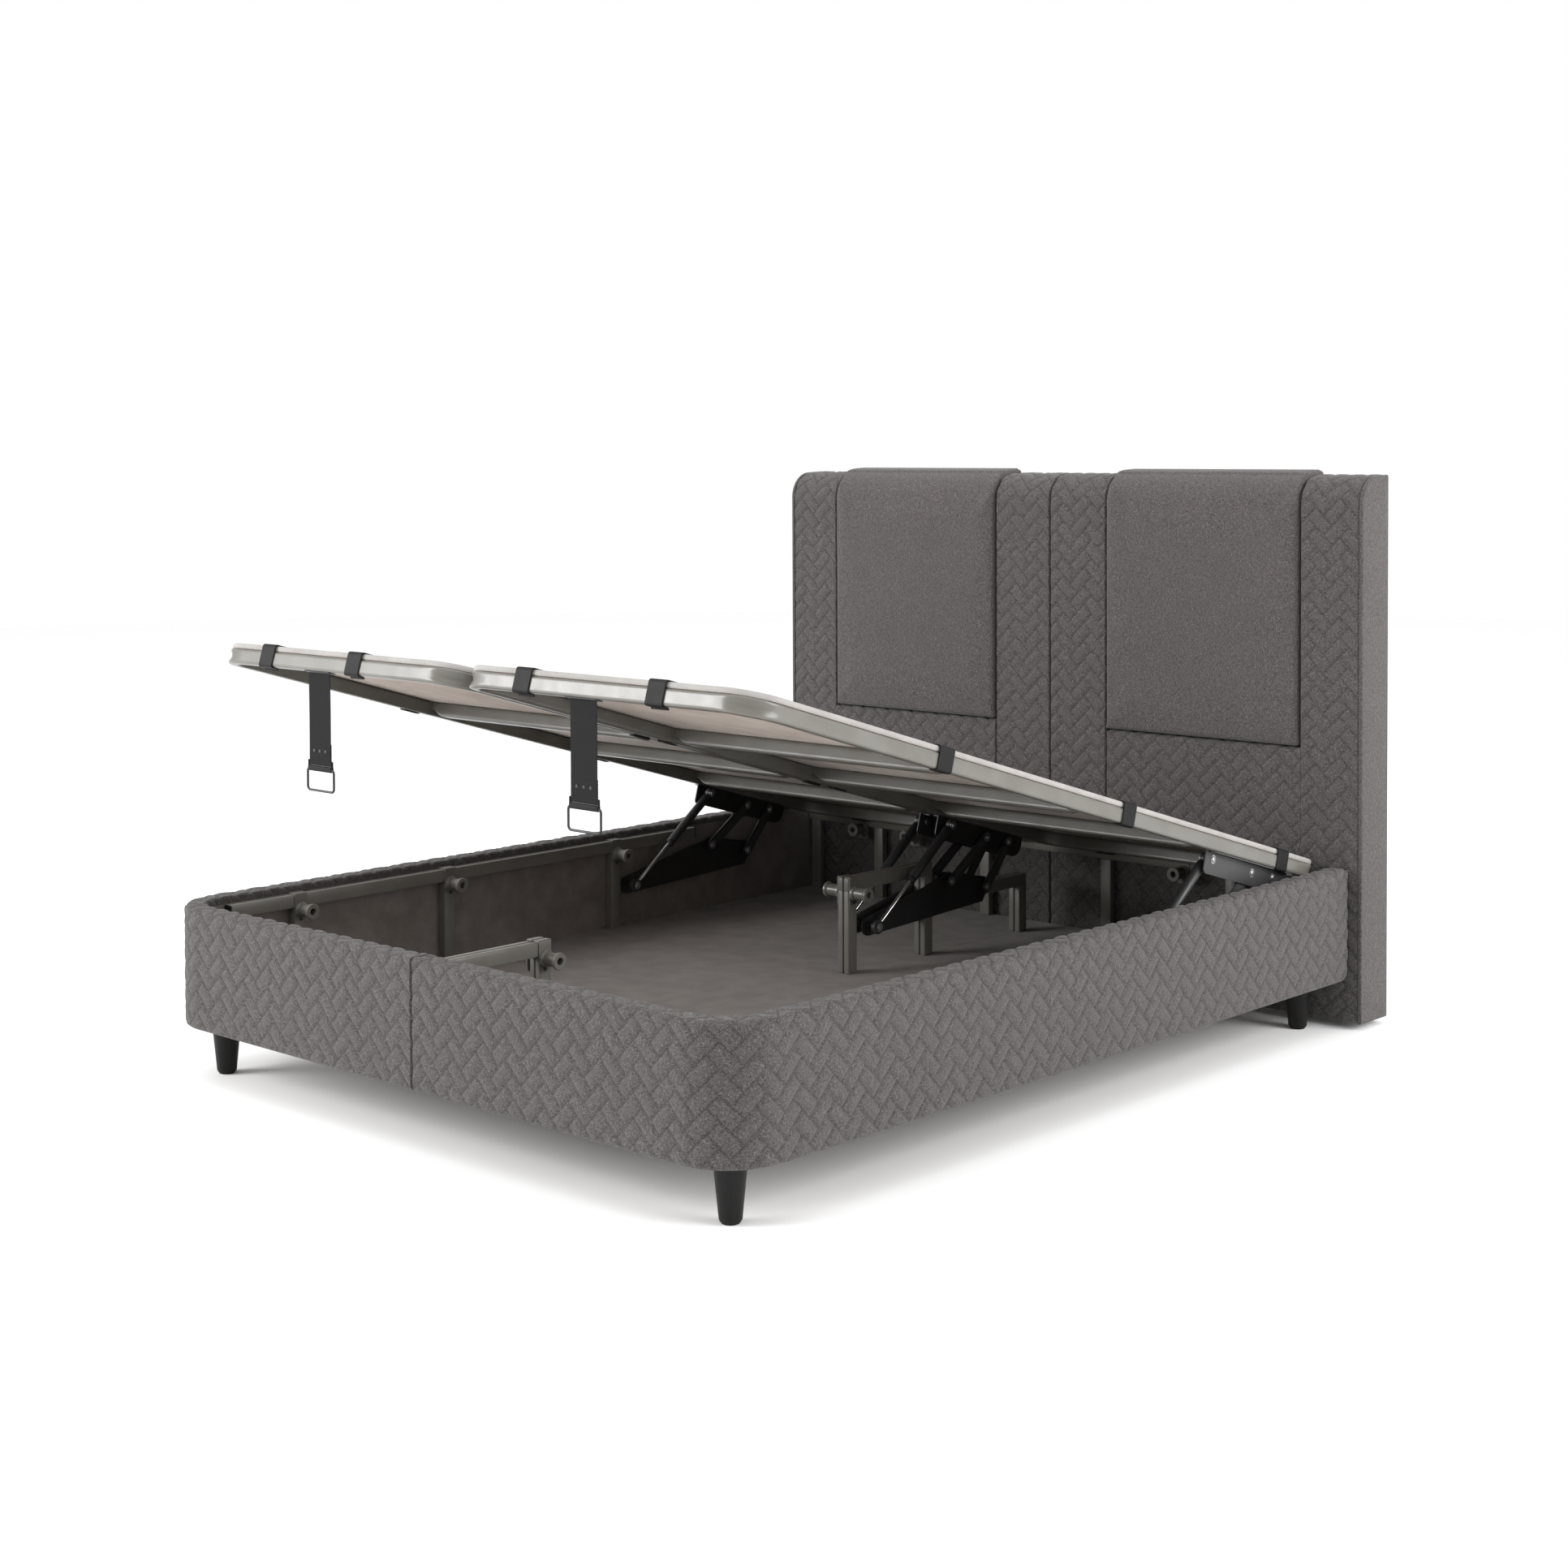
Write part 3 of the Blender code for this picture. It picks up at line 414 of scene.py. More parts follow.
BOARD_UNDERSIDE = Nonwoven(
    "board_underside_felt", roughness=0.95, color="#BFB2A8", shade="#AA9C91", sheen=0.1
)
DUST_COVER = Nonwoven("black_spunbond_dust_cover", roughness=0.9, color="#2E2D2D", shade="#232222", sheen=0.2)
LEG_FINISH = LacqueredBeech("black_lacquered_beech", roughness=0.5, ior=1.3)
STRAP_FINISH = Webbing("charcoal_webbing", roughness=0.85, ior=1.25)


# Outlines and shells


@dataclass
class Outline:
    """Points of a flat line, the outward normal at each and the length travelled."""

    points: Array
    normals: Array
    along: Array
    closed: bool


def fillet_outline(corners: Sequence[Floats], radii: Floats, steps: Floats, closed: bool = True) -> Outline:
    """Line through corners, rounded at each.

    Args:
        corners: flat points, anticlockwise where the line is closed.
        radii: one radius for each corner, 0 for a sharp one.
        steps: spacing of points on the round and on the straight that follows each corner.
        closed: whether the last corner runs back to the first.

    Returns:
        The outline. A closed one repeats its first point at the end.
    """
    pts = [Vector(c) for c in corners]
    count = len(pts)
    found: list[tuple[Vector, Vector]] = []
    for i, corner in enumerate(pts):
        ends = not closed and i in (0, count - 1)
        before = (corner - pts[i - 1]).normalized() if i or closed else (pts[1] - corner).normalized()
        after = (pts[(i + 1) % count] - corner).normalized() if i < count - 1 or closed else before
        normal_in, normal_out = Vector((before.y, -before.x)), Vector((after.y, -after.x))
        turn = before.angle_signed(after, 0.0) * -1
        radius = 0.0 if ends else radii[i]
        if radius <= 0 or abs(turn) < 1e-6:
            found.append((corner, (normal_in + normal_out).normalized()))
        else:
            reach = radius * math.tan(abs(turn) / 2)
            start = corner - before * reach
            inward = -1 if turn > 0 else 1
            center = start + normal_in * radius * inward
            pieces = max(3, math.ceil(radius * abs(turn) / steps[i]))
            for k in range(pieces + 1):
                rotated = Matrix.Rotation(turn * k / pieces, 2) @ normal_in
                found.append((center - rotated * radius * inward, rotated))
        if i == count - 1 and not closed:
            break
        following = pts[(i + 1) % count]
        next_turn = 0.0
        if closed or i + 2 < count:
            next_turn = after.angle_signed((pts[(i + 2) % count] - following).normalized(), 0.0)
        back = radii[(i + 1) % count] * math.tan(abs(next_turn) / 2)
        goal = following - after * back
        start = found[-1][0]
        pieces = max(1, round((goal - start).length / steps[i]))
        for k in range(1, pieces):
            found.append((start.lerp(goal, k / pieces), normal_out))
    if closed:
        found.append(found[0])
    points = np.array([p for p, _ in found])
    gaps = np.linalg.norm(np.diff(points, axis=0), axis=1)
    keep = np.r_[True, gaps > 1e-7]
    points = points[keep]
    normals = np.array([n for _, n in found])[keep]
    along = np.r_[0, np.cumsum(np.linalg.norm(np.diff(points, axis=0), axis=1))]
    return Outline(points, normals, along, closed)


def straight(start: Floats, end: Floats, step: float) -> Outline:
    """Open line between two flat points."""
    return fillet_outline([start, end], [0, 0], [step] * 2, closed=False)


def loft(
    columns: int, rows: int, place: Callable[[Array, Array], Array], seam: Optional[Array] = None,
    shade_rows: Optional[Callable[[int], int]] = None,
    uv: Optional[Callable[[int, int], tuple[float, float]]] = None,
) -> Solid:
    """Closed shell from a grid of columns by rows, merged where its edges meet and capped where they don't.

    Args:
        columns: number of points along the piece.
        rows: number of points round its section.
        place: from arrays of column and row numbers to points, shape (..., 3).
        seam: seam depth of each point, shape (rows, columns); the cloth paints shade where it is high.
        shade_rows: material number of the faces of a row.
        uv: map place of a column and row.

    Returns:
        The mesh.
    """
    solid = bmesh.new()
    bmesh.ops.create_grid(solid, x_segments=columns - 1, y_segments=rows - 1, size=0.5)
    spots = np.array([v.co for v in solid.verts])
    col = np.rint((spots[:, 0] + 0.5) * (columns - 1)).astype(int)
    row = np.rint((spots[:, 1] + 0.5) * (rows - 1)).astype(int)
    where = place(col, row)
    layer = solid.verts.layers.float.new("seam") if seam is not None else None
    numbers = {}
    for vert, c, r, point in zip(solid.verts, col, row, where):
        vert.co = point
        numbers[vert.index] = (c, r)
        if layer is not None:
            vert[layer] = seam[r, c]
    if shade_rows is not None:
        for face in solid.faces:
            face.material_index = shade_rows(min(numbers[v.index][1] for v in face.verts))
    if uv is not None:
        chart = solid.loops.layers.uv.new("flat")
        for face in solid.faces:
            for loop in face.loops:
                loop[chart].uv = uv(*numbers[loop.vert.index])
    edge_verts = [v for v in solid.verts if v.is_boundary]
    bmesh.ops.remove_doubles(solid, verts=edge_verts, dist=MERGE)
    rim = [e for e in solid.edges if e.is_boundary]
    if rim:
        bmesh.ops.holes_fill(solid, edges=rim, sides=0)
    bmesh.ops.recalc_face_normals(solid, faces=solid.faces)
    return solid


def rounded_block(low: Floats, high: Floats, radius: float, segments: int = 3) -> Solid:
    """Block between two corners with every edge rounded.

    Args:
        low: lowest corner.
        high: highest corner.
        radius: edge radius.
        segments: steps of the rounding.

    Returns:
        The mesh.
    """
    solid = bmesh.new()
    bmesh.ops.create_cube(solid, size=1.0)
    size = [high[i] - low[i] for i in range(3)]
    bmesh.ops.scale(solid, vec=size, verts=solid.verts)
    bmesh.ops.translate(solid, vec=[(high[i] + low[i]) / 2 for i in range(3)], verts=solid.verts)
    bevel(solid, solid.edges, min(radius, min(size) * 0.48), segments)
    return solid


def bevel(solid: Solid, edges: Sequence[bmesh.types.BMEdge], radius: float, segments: int = 2) -> None:
    """Round some edges of a mesh."""
    bmesh.ops.bevel(
        solid, geom=list(edges), offset=radius, offset_type="OFFSET", affect="EDGES", segments=segments,
        profile=0.5, material=-1, clamp_overlap=True,
    )


def lathe(profile: Sequence[tuple[float, float]], steps: int = 32) -> Solid:
    """Shape turned about the Z axis.

    Args:
        profile: radius and height pairs.
        steps: facets round the axis.

    Returns:
        The mesh.
    """
    solid = bmesh.new()
    verts = [solid.verts.new((radius, 0.0, height)) for radius, height in profile]
    edges = [solid.edges.new(pair) for pair in zip(verts, verts[1:])]
    whole = {"axis": (0, 0, 1), "cent": (0, 0, 0), "angle": FULL_TURN, "use_merge": True}
    bmesh.ops.spin(solid, geom=verts + edges, steps=steps, **whole)
    bmesh.ops.remove_doubles(solid, verts=solid.verts, dist=MERGE)
    bmesh.ops.recalc_face_normals(solid, faces=solid.faces)
    return solid


def extruded(outline: Sequence[Floats], depth: float, round_edges: float = 0.0) -> Solid:
    """Flat outline in X and Y pushed up along Z.

    Args:
        outline: flat points.
        depth: thickness.
        round_edges: radius on the edges of both faces.

    Returns:
        The mesh.
    """
    solid = bmesh.new()
    face = solid.faces.new([solid.verts.new((p[0], p[1], 0.0)) for p in outline])
    grown = bmesh.ops.extrude_face_region(solid, geom=[face])
    moved = [item for item in grown["geom"] if isinstance(item, bmesh.types.BMVert)]
    bmesh.ops.translate(solid, verts=moved, vec=(0, 0, depth))
    bmesh.ops.recalc_face_normals(solid, faces=solid.faces)
    if round_edges:
        rims = [e for e in solid.edges if abs(e.verts[0].co.z - e.verts[1].co.z) < MERGE]
        bevel(solid, rims, round_edges, 2)
    return solid


def moved(solid: Solid, matrix: Matrix) -> Solid:
    """Move a whole mesh by a matrix and give it back."""
    bmesh.ops.transform(solid, matrix=matrix, verts=solid.verts)
    return solid


def on_side(solid: Solid, side: Side) -> Solid:
    """Mirror a right-hand shape where its side is the left one, and give it back."""
    if side is Side.LEFT:
        bmesh.ops.scale(solid, vec=(-1, 1, 1), verts=solid.verts)
    return solid


def joined(*solids: Solid) -> Solid:
    """Gather several meshes in one."""
    whole = bmesh.new()
    for solid in solids:
        part = bpy.data.meshes.new("part")
        solid.to_mesh(part)
        solid.free()
        whole.from_mesh(part)
        bpy.data.meshes.remove(part)
    return whole


def along_x(x: float, y: float, z: float, sign: float = 1.0) -> Matrix:
    """Matrix that lays a shape's Z axis along X, or along -X, from a point."""
    return shift((x, y, z)) @ Matrix.Rotation(sign * math.pi / 2, 4, "Y")


def add_piece(
    name: str, solid: Solid, finishes: Sequence[Finish] | Finish, body: str,
    stands_for: Sequence[str] = (),
) -> bpy.types.Object:
    """Make a finished piece from a mesh.

    Args:
        name: the piece's name.
        solid: its mesh, in the frame's place. It is used up.
        finishes: its finish, or one for each material number.
        body: the body that it rides on.
        stands_for: nodes that it replaces.

    Returns:
        The piece.
    """
    bmesh.ops.recalc_face_normals(solid, faces=solid.faces)
    mesh = bpy.data.meshes.new(name)
    solid.to_mesh(mesh)
    solid.free()
    for finish in [finishes] if isinstance(finishes, Finish) else finishes:
        mesh.materials.append(finish.material())
    mesh.shade_smooth()
    mesh.set_sharp_from_angle(angle=SMOOTH_ANGLE)
    piece = bpy.data.objects.new(name, mesh)
    bpy.context.scene.collection.objects.link(piece)
    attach(piece, body)
    if stands_for:
        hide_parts(*stands_for)
    LOG.info("%s: %d faces on %s", name, len(mesh.polygons), body)
    return piece


def dress(finish: Finish, *nodes: str) -> None:
    """Give carried-over nodes a finish.

    Args:
        finish: the finish.
        nodes: the nodes' names.
    """
    for name in nodes:
        slots = frame["nodes"][name].data.materials
        slots.clear()
        slots.append(finish.material())


PLAN = Matrix.Identity(4)
SIDE_VIEW = Matrix(((0, 0, 1, 0), (1, 0, 0, 0), (0, 1, 0, 0), (0, 0, 0, 1)))
FRONT_VIEW = Matrix(((1, 0, 0, 0), (0, 0, -1, 0), (0, 1, 0, 0), (0, 0, 0, 1)))
Adjust = Callable[[Array, Array, Array, Array], Pair]


def sweep(
    path: Outline, section: Outline, matrix: Matrix = PLAN, adjust: Optional[Adjust] = None, **options: object
) -> Solid:
    """Section carried along a flat path.

    Args:
        path: the line, in the matrix's X and Y.
        section: its first number is the offset outwards from the path, its second the height above its plane.
        matrix: where the path's plane lies.
        adjust: changes offset and height, from column, row, offset and height.
        options: passed to loft.

    Returns:
        The mesh.
    """
    turn, base = np.array(matrix.to_3x3()), np.array(matrix.to_translation())

    def place(col: Array, row: Array) -> Array:
        """Point of each column and row."""
        out, up = section.points[row, 0], section.points[row, 1]
        if adjust is not None:
            out, up = adjust(col, row, out, up)
        flat = path.points[col] + path.normals[col] * out[:, None]
        return np.column_stack([flat, up]) @ turn.T + base

    return loft(len(path.points), len(section.points), place, **options)


def rectangle(low: Floats, high: Floats, radius: float, step: float) -> Outline:
    """Rounded rectangle between two flat corners."""
    corners = [low, (high[0], low[1]), high, (low[0], high[1])]
    return fillet_outline(corners, [radius] * 4, [step] * 4)


def end_round(distance: Array, radius: float) -> Array:
    """How far a rounded end lies below the flat, at a distance from the end."""
    inside = np.clip(radius - distance, 0, radius)
    return radius - np.sqrt(radius**2 - inside**2)


# Upholstery


@dataclass(frozen=True)
class Herringbone:
    """Quilting in herringbone bricks at 45 degrees, counted in steps of the mesh."""

    step: float = 0.00354
    pitch: int = 13
    column: int = 12
    puff: float = 0.0036
    fall: float = 0.0050
    sink: float = 0.0023

    def relief(self, col: Array, row: Array) -> Pair:
        """Height and seam share of points.

        Args:
            col: whole steps across.
            row: whole steps up.

        Returns:
            Height over the seams in metres, and 1 on a seam falling to 0 inside a brick.
        """
        period = 2 * self.column
        nearest = np.full(np.broadcast(col, row).shape, -1e9)
        brick = np.zeros(nearest.shape)
        for neighbour in (-1, 0, 1):
            k = col // period + neighbour
            a, b = col + row - period * k, row - col + period * k
            low = (b // self.pitch) * self.pitch
            flat = np.minimum.reduce([a - low, low + period - a, b - low, low + self.pitch - b])
            top = -((-a) // self.pitch) * self.pitch
            upright = np.minimum.reduce([a - top + self.pitch, top - a, b - top, top + period - b])
            for found, mark in ((flat, low * 1.7 + k * 9.1), (upright, top * 2.3 + k * 5.3 + 0.5)):
                brick = np.where(found > nearest, mark, brick)
                nearest = np.maximum(nearest, found)
        depth = np.clip(nearest, 0, None) * self.step / math.sqrt(2)
        fullness = 1 + 0.14 * np.sin(brick * 12.9898)
        height = self.puff * fullness * (1 - np.exp(-depth / self.fall))
        return height, np.exp(-depth / 0.0016)


@dataclass
class QuiltedPanel:
    """Quilted upholstery over a board, closed at the back with lining."""

    name: str
    node: str
    path: Outline
    thickness: float
    bottom: float
    top: float
    top_round: float
    wrap: float
    end_rounds: tuple[float, float]
    side: Side
    reach: float = 0.0
    top_fall: float = 0.0
    rear_round: float = 0.0
    bottom_round: float = 0.008
    first_column: int = 0
    back_finish: Finish = LINING
    quilt: Herringbone = Herringbone()

    def section(self) -> Outline:
        """Section of the panel, with close rows where the cover is quilted."""
        step, back = self.quilt.step, -self.thickness
        over = min(back, -self.reach)
        front_top = self.top - self.top_fall
        low, high = self.bottom, self.top
        corners = [(back, low), (0, low), (0, front_top), (over, high), (over, high - self.wrap)]
        radii = [0.003, self.bottom_round, self.top_round, 0.006, 0]
        steps = [0.012, step, step, step, 0.05]
        if over < back:
            corners.append((back, front_top + self.top_fall * back / over - self.wrap))
            radii.append(0)
            steps.append(0.05)
        return fillet_outline(corners, radii, steps)

    def build(self) -> bpy.types.Object:
        """Build the panel and ride it on the box."""
        section, path = self.section(), self.path
        outer = section.normals[:, 0]
        first = int(np.argmax(outer > 0.2))
        reached = np.nonzero((section.points[:, 1] > self.top - self.wrap - MERGE) & (outer < -0.9))[0]
        last = int(reached[-1])
        rows = np.arange(len(section.points))
        quilted = np.clip(np.minimum(rows - first, last - rows) / 3.0, 0, 1)
        columns = np.arange(len(path.points))
        height, seam = self.quilt.relief(columns[None, :] + self.first_column, rows[:, None] - first)
        height = (height - self.quilt.sink) * quilted[:, None]
        # seam only feeds the cloth's painted shade in the quilted grooves.
        seam = seam * quilted[:, None]
        from_start, from_end = path.along, path.along[-1] - path.along
        pull = end_round(from_start, self.end_rounds[0]) + end_round(from_end, self.end_rounds[1])
        fade = np.clip(np.minimum(from_start, from_end) / 0.005, 0.25, 1)

        def adjust(col: Array, row: Array, out: Array, up: Array) -> Pair:
            """Add the quilting and roll the ends in."""
            rise = height[row, col] * fade[col] - pull[col] * (quilted[row] > 0)
            return out + section.normals[row, 0] * rise, up + section.normals[row, 1] * rise

        hidden = [int(row >= last or row < first - 1) for row in rows]
        solid = sweep(path, section, adjust=adjust, seam=seam, shade_rows=hidden.__getitem__)
        if self.rear_round:
            end = path.points[-1][1]
            for vert in solid.verts:
                near = max(0.0, 1 - (end - vert.co.y) / 0.12)
                if near > 0:
                    low = np.clip(self.rear_round - (vert.co.z - self.bottom), 0, self.rear_round)
                    vert.co.y -= near**2 * (self.rear_round - math.sqrt(self.rear_round**2 - low**2))
        on_side(solid, self.side)
        piece = add_piece(self.name, solid, (UPHOLSTERY, self.back_finish), "root", [self.node])
        return piece


@dataclass
class Skirt:
    """Upholstered half skirt: half the foot end, one rounded corner and one side."""

    side: Side
    thickness: float = 0.049
    corner: float = 0.128

    def build(self) -> None:
        """Build the half skirt."""
        node = f"skirt_{self.side.label}"
        low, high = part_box(node)
        half = max(abs(low.x), abs(high.x))
        step = Herringbone.step
        corners = [(WELD, low.y), (half, low.y), (half, high.y)]
        path = fillet_outline(corners, [0, self.corner, 0], [step] * 3, closed=False)
        QuiltedPanel(
            f"quilted_{node}", node, path, self.thickness, low.z, high.z, 0.010, 0.016, (0.005, 0.009),
            self.side, rear_round=0.030,
        ).build()


@dataclass
class Headboard:
    """Tall headboard: covered core, boxed sides, quilted panels and two plain pads, rolled over the top."""

    top_round: float = 0.068
    top_fall: float = 0.005
    cap: float = 0.012
    side_panel: float = 0.009
    pad_round: float = 0.011
    pad_swell: float = 0.004
    voxel: float = 0.007

    def __post_init__(self) -> None:
        """Find the headboard's faces."""
        self.core_low, self.core_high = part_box("headboard_core")
        self.strip_low, self.strip_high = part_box("headboard_inner_strip_right")
        self.front, self.back = self.strip_low.y, self.core_high.y - 0.0016
        self.bottom, self.top = self.strip_low.z, self.core_high.z
        self.half = self.core_high.x
        self.pad_low, self.pad_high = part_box("headboard_pad_right")

    def build(self) -> None:
        """Build every piece of the headboard."""
        self.core()
        for side in Side:
            inner = (self.strip_low.x, self.strip_high.x)
            outer = (self.pad_high.x + WELD, self.half - self.side_panel + 0.0005)
            self.strip(side, "headboard_inner_strip", inner, (0.006, 0.005))
            self.strip(side, "headboard_outer_strip", outer, (0.006, 0.004))
            self.lower_panel(side)
            self.side_panel_of(side)
            self.pad(side)

    def strip(self, side: Side, name: str, span: tuple[float, float], rounds: tuple[float, float]) -> None:
        """Build one quilted strip that runs over the top to the back.

        Args:
            side: half of the bed.
            name: the node's name without its side.
            span: distance of both edges from the middle.
            rounds: radius of the edge nearer the middle and of the other.
        """
        node = f"{name}_{side.label}"
        path = straight((span[0], self.front), (span[1], self.front), Herringbone.step)
        QuiltedPanel(
            f"quilted_{node}", node, path, self.strip_high.y - self.front, self.bottom, self.top,
            self.top_round, self.cap, rounds, side, reach=self.back - self.front, top_fall=self.top_fall,
            back_finish=UPHOLSTERY,
        ).build()

    def lower_panel(self, side: Side) -> None:
        """Build the quilted panel under one pad, in step with the strip outside it."""
        path = straight((self.pad_low.x, self.front), (self.pad_high.x + 0.003, self.front), Herringbone.step)
        node = f"headboard_outer_strip_{side.label}"
        QuiltedPanel(
            f"quilted_lower_panel_{side.label}", node, path, self.strip_high.y - self.front, self.bottom,
            self.pad_low.z - WELD, 0.006, 0.012, (0.005, 0.0005), side, first_column=1 - len(path.points),
            back_finish=UPHOLSTERY,
        ).build()

    def side_panel_of(self, side: Side) -> None:
        """Build the plain boxing panel that closes one side."""
        corners = [
            (self.front - 0.001, self.bottom), (self.back, self.bottom), (self.back, self.top),
            (self.front - 0.001, self.top - self.top_fall),
        ]
        shape = fillet_outline(corners, [0.004, 0.004, 0.004, self.top_round], [0.02, 0.02, 0.004, 0.004])
        solid = extruded(shape.points[:-1], self.side_panel)
        rim = [e for e in solid.edges if min(v.co.z for v in e.verts) > self.side_panel - MERGE]
        bevel(solid, rim, 0.0065, 5)
        moved(solid, shift((self.half - self.side_panel, 0, 0)) @ SIDE_VIEW)
        panel = add_piece(f"side_panel_{side.label}", on_side(solid, side), UPHOLSTERY, "root")

    def core(self) -> None:
        """Build the covered core and the dust cover stapled behind it."""
        low, high = self.core_low, self.core_high
        side = self.half - self.side_panel + 0.002
        solid = rounded_block((-side, low.y, low.z), (side, self.back, self.top - 0.014), 0.004, 3)
        bmesh.ops.subdivide_edges(
            solid, edges=[e for e in solid.edges if e.calc_length() > 0.3], cuts=24, use_grid_fill=True
        )
        core = add_piece("covered_core", solid, UPHOLSTERY, "root", ["headboard_core"])
        skin = self.back + 0.0009
        cover = rounded_block(
            (low.x + 0.03, self.back - 0.002, low.z + 0.03), (high.x - 0.03, skin, high.z - 0.04), 0.0008
        )
        add_piece("rear_dust_cover", cover, DUST_COVER, "root")
        staples = []
        for z in np.linspace(low.z + 0.045, high.z - 0.055, 18):
            for sign in (-1, 1):
                staples.append(moved(self.staple(), shift((sign * (high.x - 0.04), skin, z))))
        for x in np.linspace(low.x + 0.09, high.x - 0.09, 24):
            for z in (low.z + 0.04, high.z - 0.05):
                staples.append(moved(self.staple(), shift((x, skin, z)) @ LAID))
        add_piece("rear_staples", joined(*staples), PLATED_STEEL, "root")

    @staticmethod
    def staple() -> Solid:
        """Upright staple crown, 10 mm long."""
        return rounded_block((-0.0006, -0.0006, -0.005), (0.0006, 0.0006, 0.005), 0.0004, 1)

    def pad(self, side: Side) -> None:
        """Build one plain pad, rolled over the top, and let its cover swell.

        Args:
            side: half of the bed.
        """
        low, high = self.pad_low, self.pad_high
        proud = self.front - low.y
        depth, reach = self.strip_high.y - low.y, self.back - low.y
        hem = self.top - 0.022
        corners = [
            (-depth, low.z), (0, low.z), (0, high.z - self.top_fall), (-reach, high.z), (-reach, hem),
            (-depth, hem),
        ]
        radii = [0.002, self.pad_round, self.top_round + proud, self.pad_round, 0.002, 0]
        section = fillet_outline(corners, radii, [0.008, 0.003, 0.005, 0.003, 0.008, 0.008])
        path = straight((low.x + 0.0008, low.y), (high.x - 0.0008, low.y), 0.002)
        pull = end_round(path.along, self.pad_round) + end_round(path.along[-1] - path.along, self.pad_round)
        padded_rows = section.normals[:, 0] * 0.7 + section.normals[:, 1] > 0.1

        def adjust(col: Array, row: Array, out: Array, up: Array) -> Pair:
            """Round both side edges."""
            back = pull[col] * padded_rows[row]
            return out - section.normals[row, 0] * back, up - section.normals[row, 1] * back

        solid = on_side(sweep(path, section, adjust=adjust), side)
        node = f"headboard_pad_{side.label}"
        pad = add_piece(f"plain_pad_{side.label}", solid, UPHOLSTERY, "root", [node])
        remesh = pad.modifiers.new("remesh", "REMESH")
        remesh.mode = "VOXEL"
        remesh.voxel_size = self.voxel
        bake_modifiers(pad)
        swell(pad, self.pad_swell, *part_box(node), self.strip_high.y - 0.012)
        smooth = pad.modifiers.new("rounding", "SUBSURF")
        smooth.levels = smooth.render_levels = 1
        bake_modifiers(pad)
        pad.data.shade_smooth()
        pad.data.materials.clear()
        pad.data.materials.append(UPHOLSTERY.material())


def bake_modifiers(obj: bpy.types.Object) -> None:
    """Keep what an object's modifiers make as its mesh."""
    graph = bpy.context.evaluated_depsgraph_get()
    mesh = bpy.data.meshes.new_from_object(obj.evaluated_get(graph))
    obj.modifiers.clear()
    old = obj.data
    obj.data = mesh
    name = old.name
    bpy.data.meshes.remove(old)
    mesh.name = name


def swell(pad: bpy.types.Object, limit: float, low: Vector, high: Vector, held_from: float) -> None:
    """Inflate a pad's cover as cloth, held at its back.

    Args:
        pad: the pad, whose mesh is changed.
        limit: most that a point may move.
        low: lowest corner that the pad may fill.
        high: highest corner.
        held_from: depth behind which the cover is nailed down.
    """
    rest = np.array([v.co for v in pad.data.vertices])
    held = pad.vertex_groups.new(name="held")
    held.add([int(i) for i in np.nonzero(rest[:, 1] > held_from)[0]], 1.0, "REPLACE")
    cloth = pad.modifiers.new("cover", "CLOTH")
    cloth.settings.vertex_group_mass = "held"
    cloth.settings.use_pressure = True
    cloth.settings.uniform_pressure_force = 4.0
    cloth.settings.quality = 5
    cloth.settings.effector_weights.gravity = 0.0
    scene = bpy.context.scene
    for number in range(1, 21):
        scene.frame_set(number)
    graph = bpy.context.evaluated_depsgraph_get()
    end = np.array([v.co for v in pad.evaluated_get(graph).data.vertices])
    pad.modifiers.remove(cloth)
    scene.frame_set(1)
    travel = end - rest
    length = np.linalg.norm(travel, axis=1, keepdims=True)
    travel *= np.minimum(1.0, limit / np.maximum(length, 1e-9))
    margin = np.array((0.0006, 0.006, 0.004))
    place = np.clip(rest + travel, np.array(low) - margin * (-1, 1, 0), np.array(high) + margin * (-1, 0, 1))
    pad.data.vertices.foreach_set("co", place.astype(np.float32).ravel())
    pad.data.update()


# Storage box


@dataclass
class Leg:
    """Tapered round leg with a moulded glide."""

    node: str
    glide: float = 0.004

    def build(self) -> None:
        """Turn the leg and its glide."""
        low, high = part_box(self.node)
        x, y = (low.x + high.x) / 2, (low.y + high.y) / 2
        top, bottom = (high.x - low.x) / 2, 0.020
        place = shift((x, y, low.z))
        height = high.z - low.z
        profile = [
            (0, height), (top, height), (top, height - 0.006), (top - 0.0012, height - 0.0075),
            (bottom + 0.001, self.glide + 0.004), (bottom - 0.0008, self.glide), (0, self.glide),
        ]
        leg = moved(lathe(profile, 48), place)
        add_piece(f"turned_{self.node}", leg, LEG_FINISH, "root", [self.node])
        disc = lathe([(0, self.glide), (0.0168, self.glide), (0.0168, 0.001), (0.0155, 0), (0, 0)])
        add_piece(f"glide_{self.node}", moved(disc, place), BLACK_PLASTIC, "root")


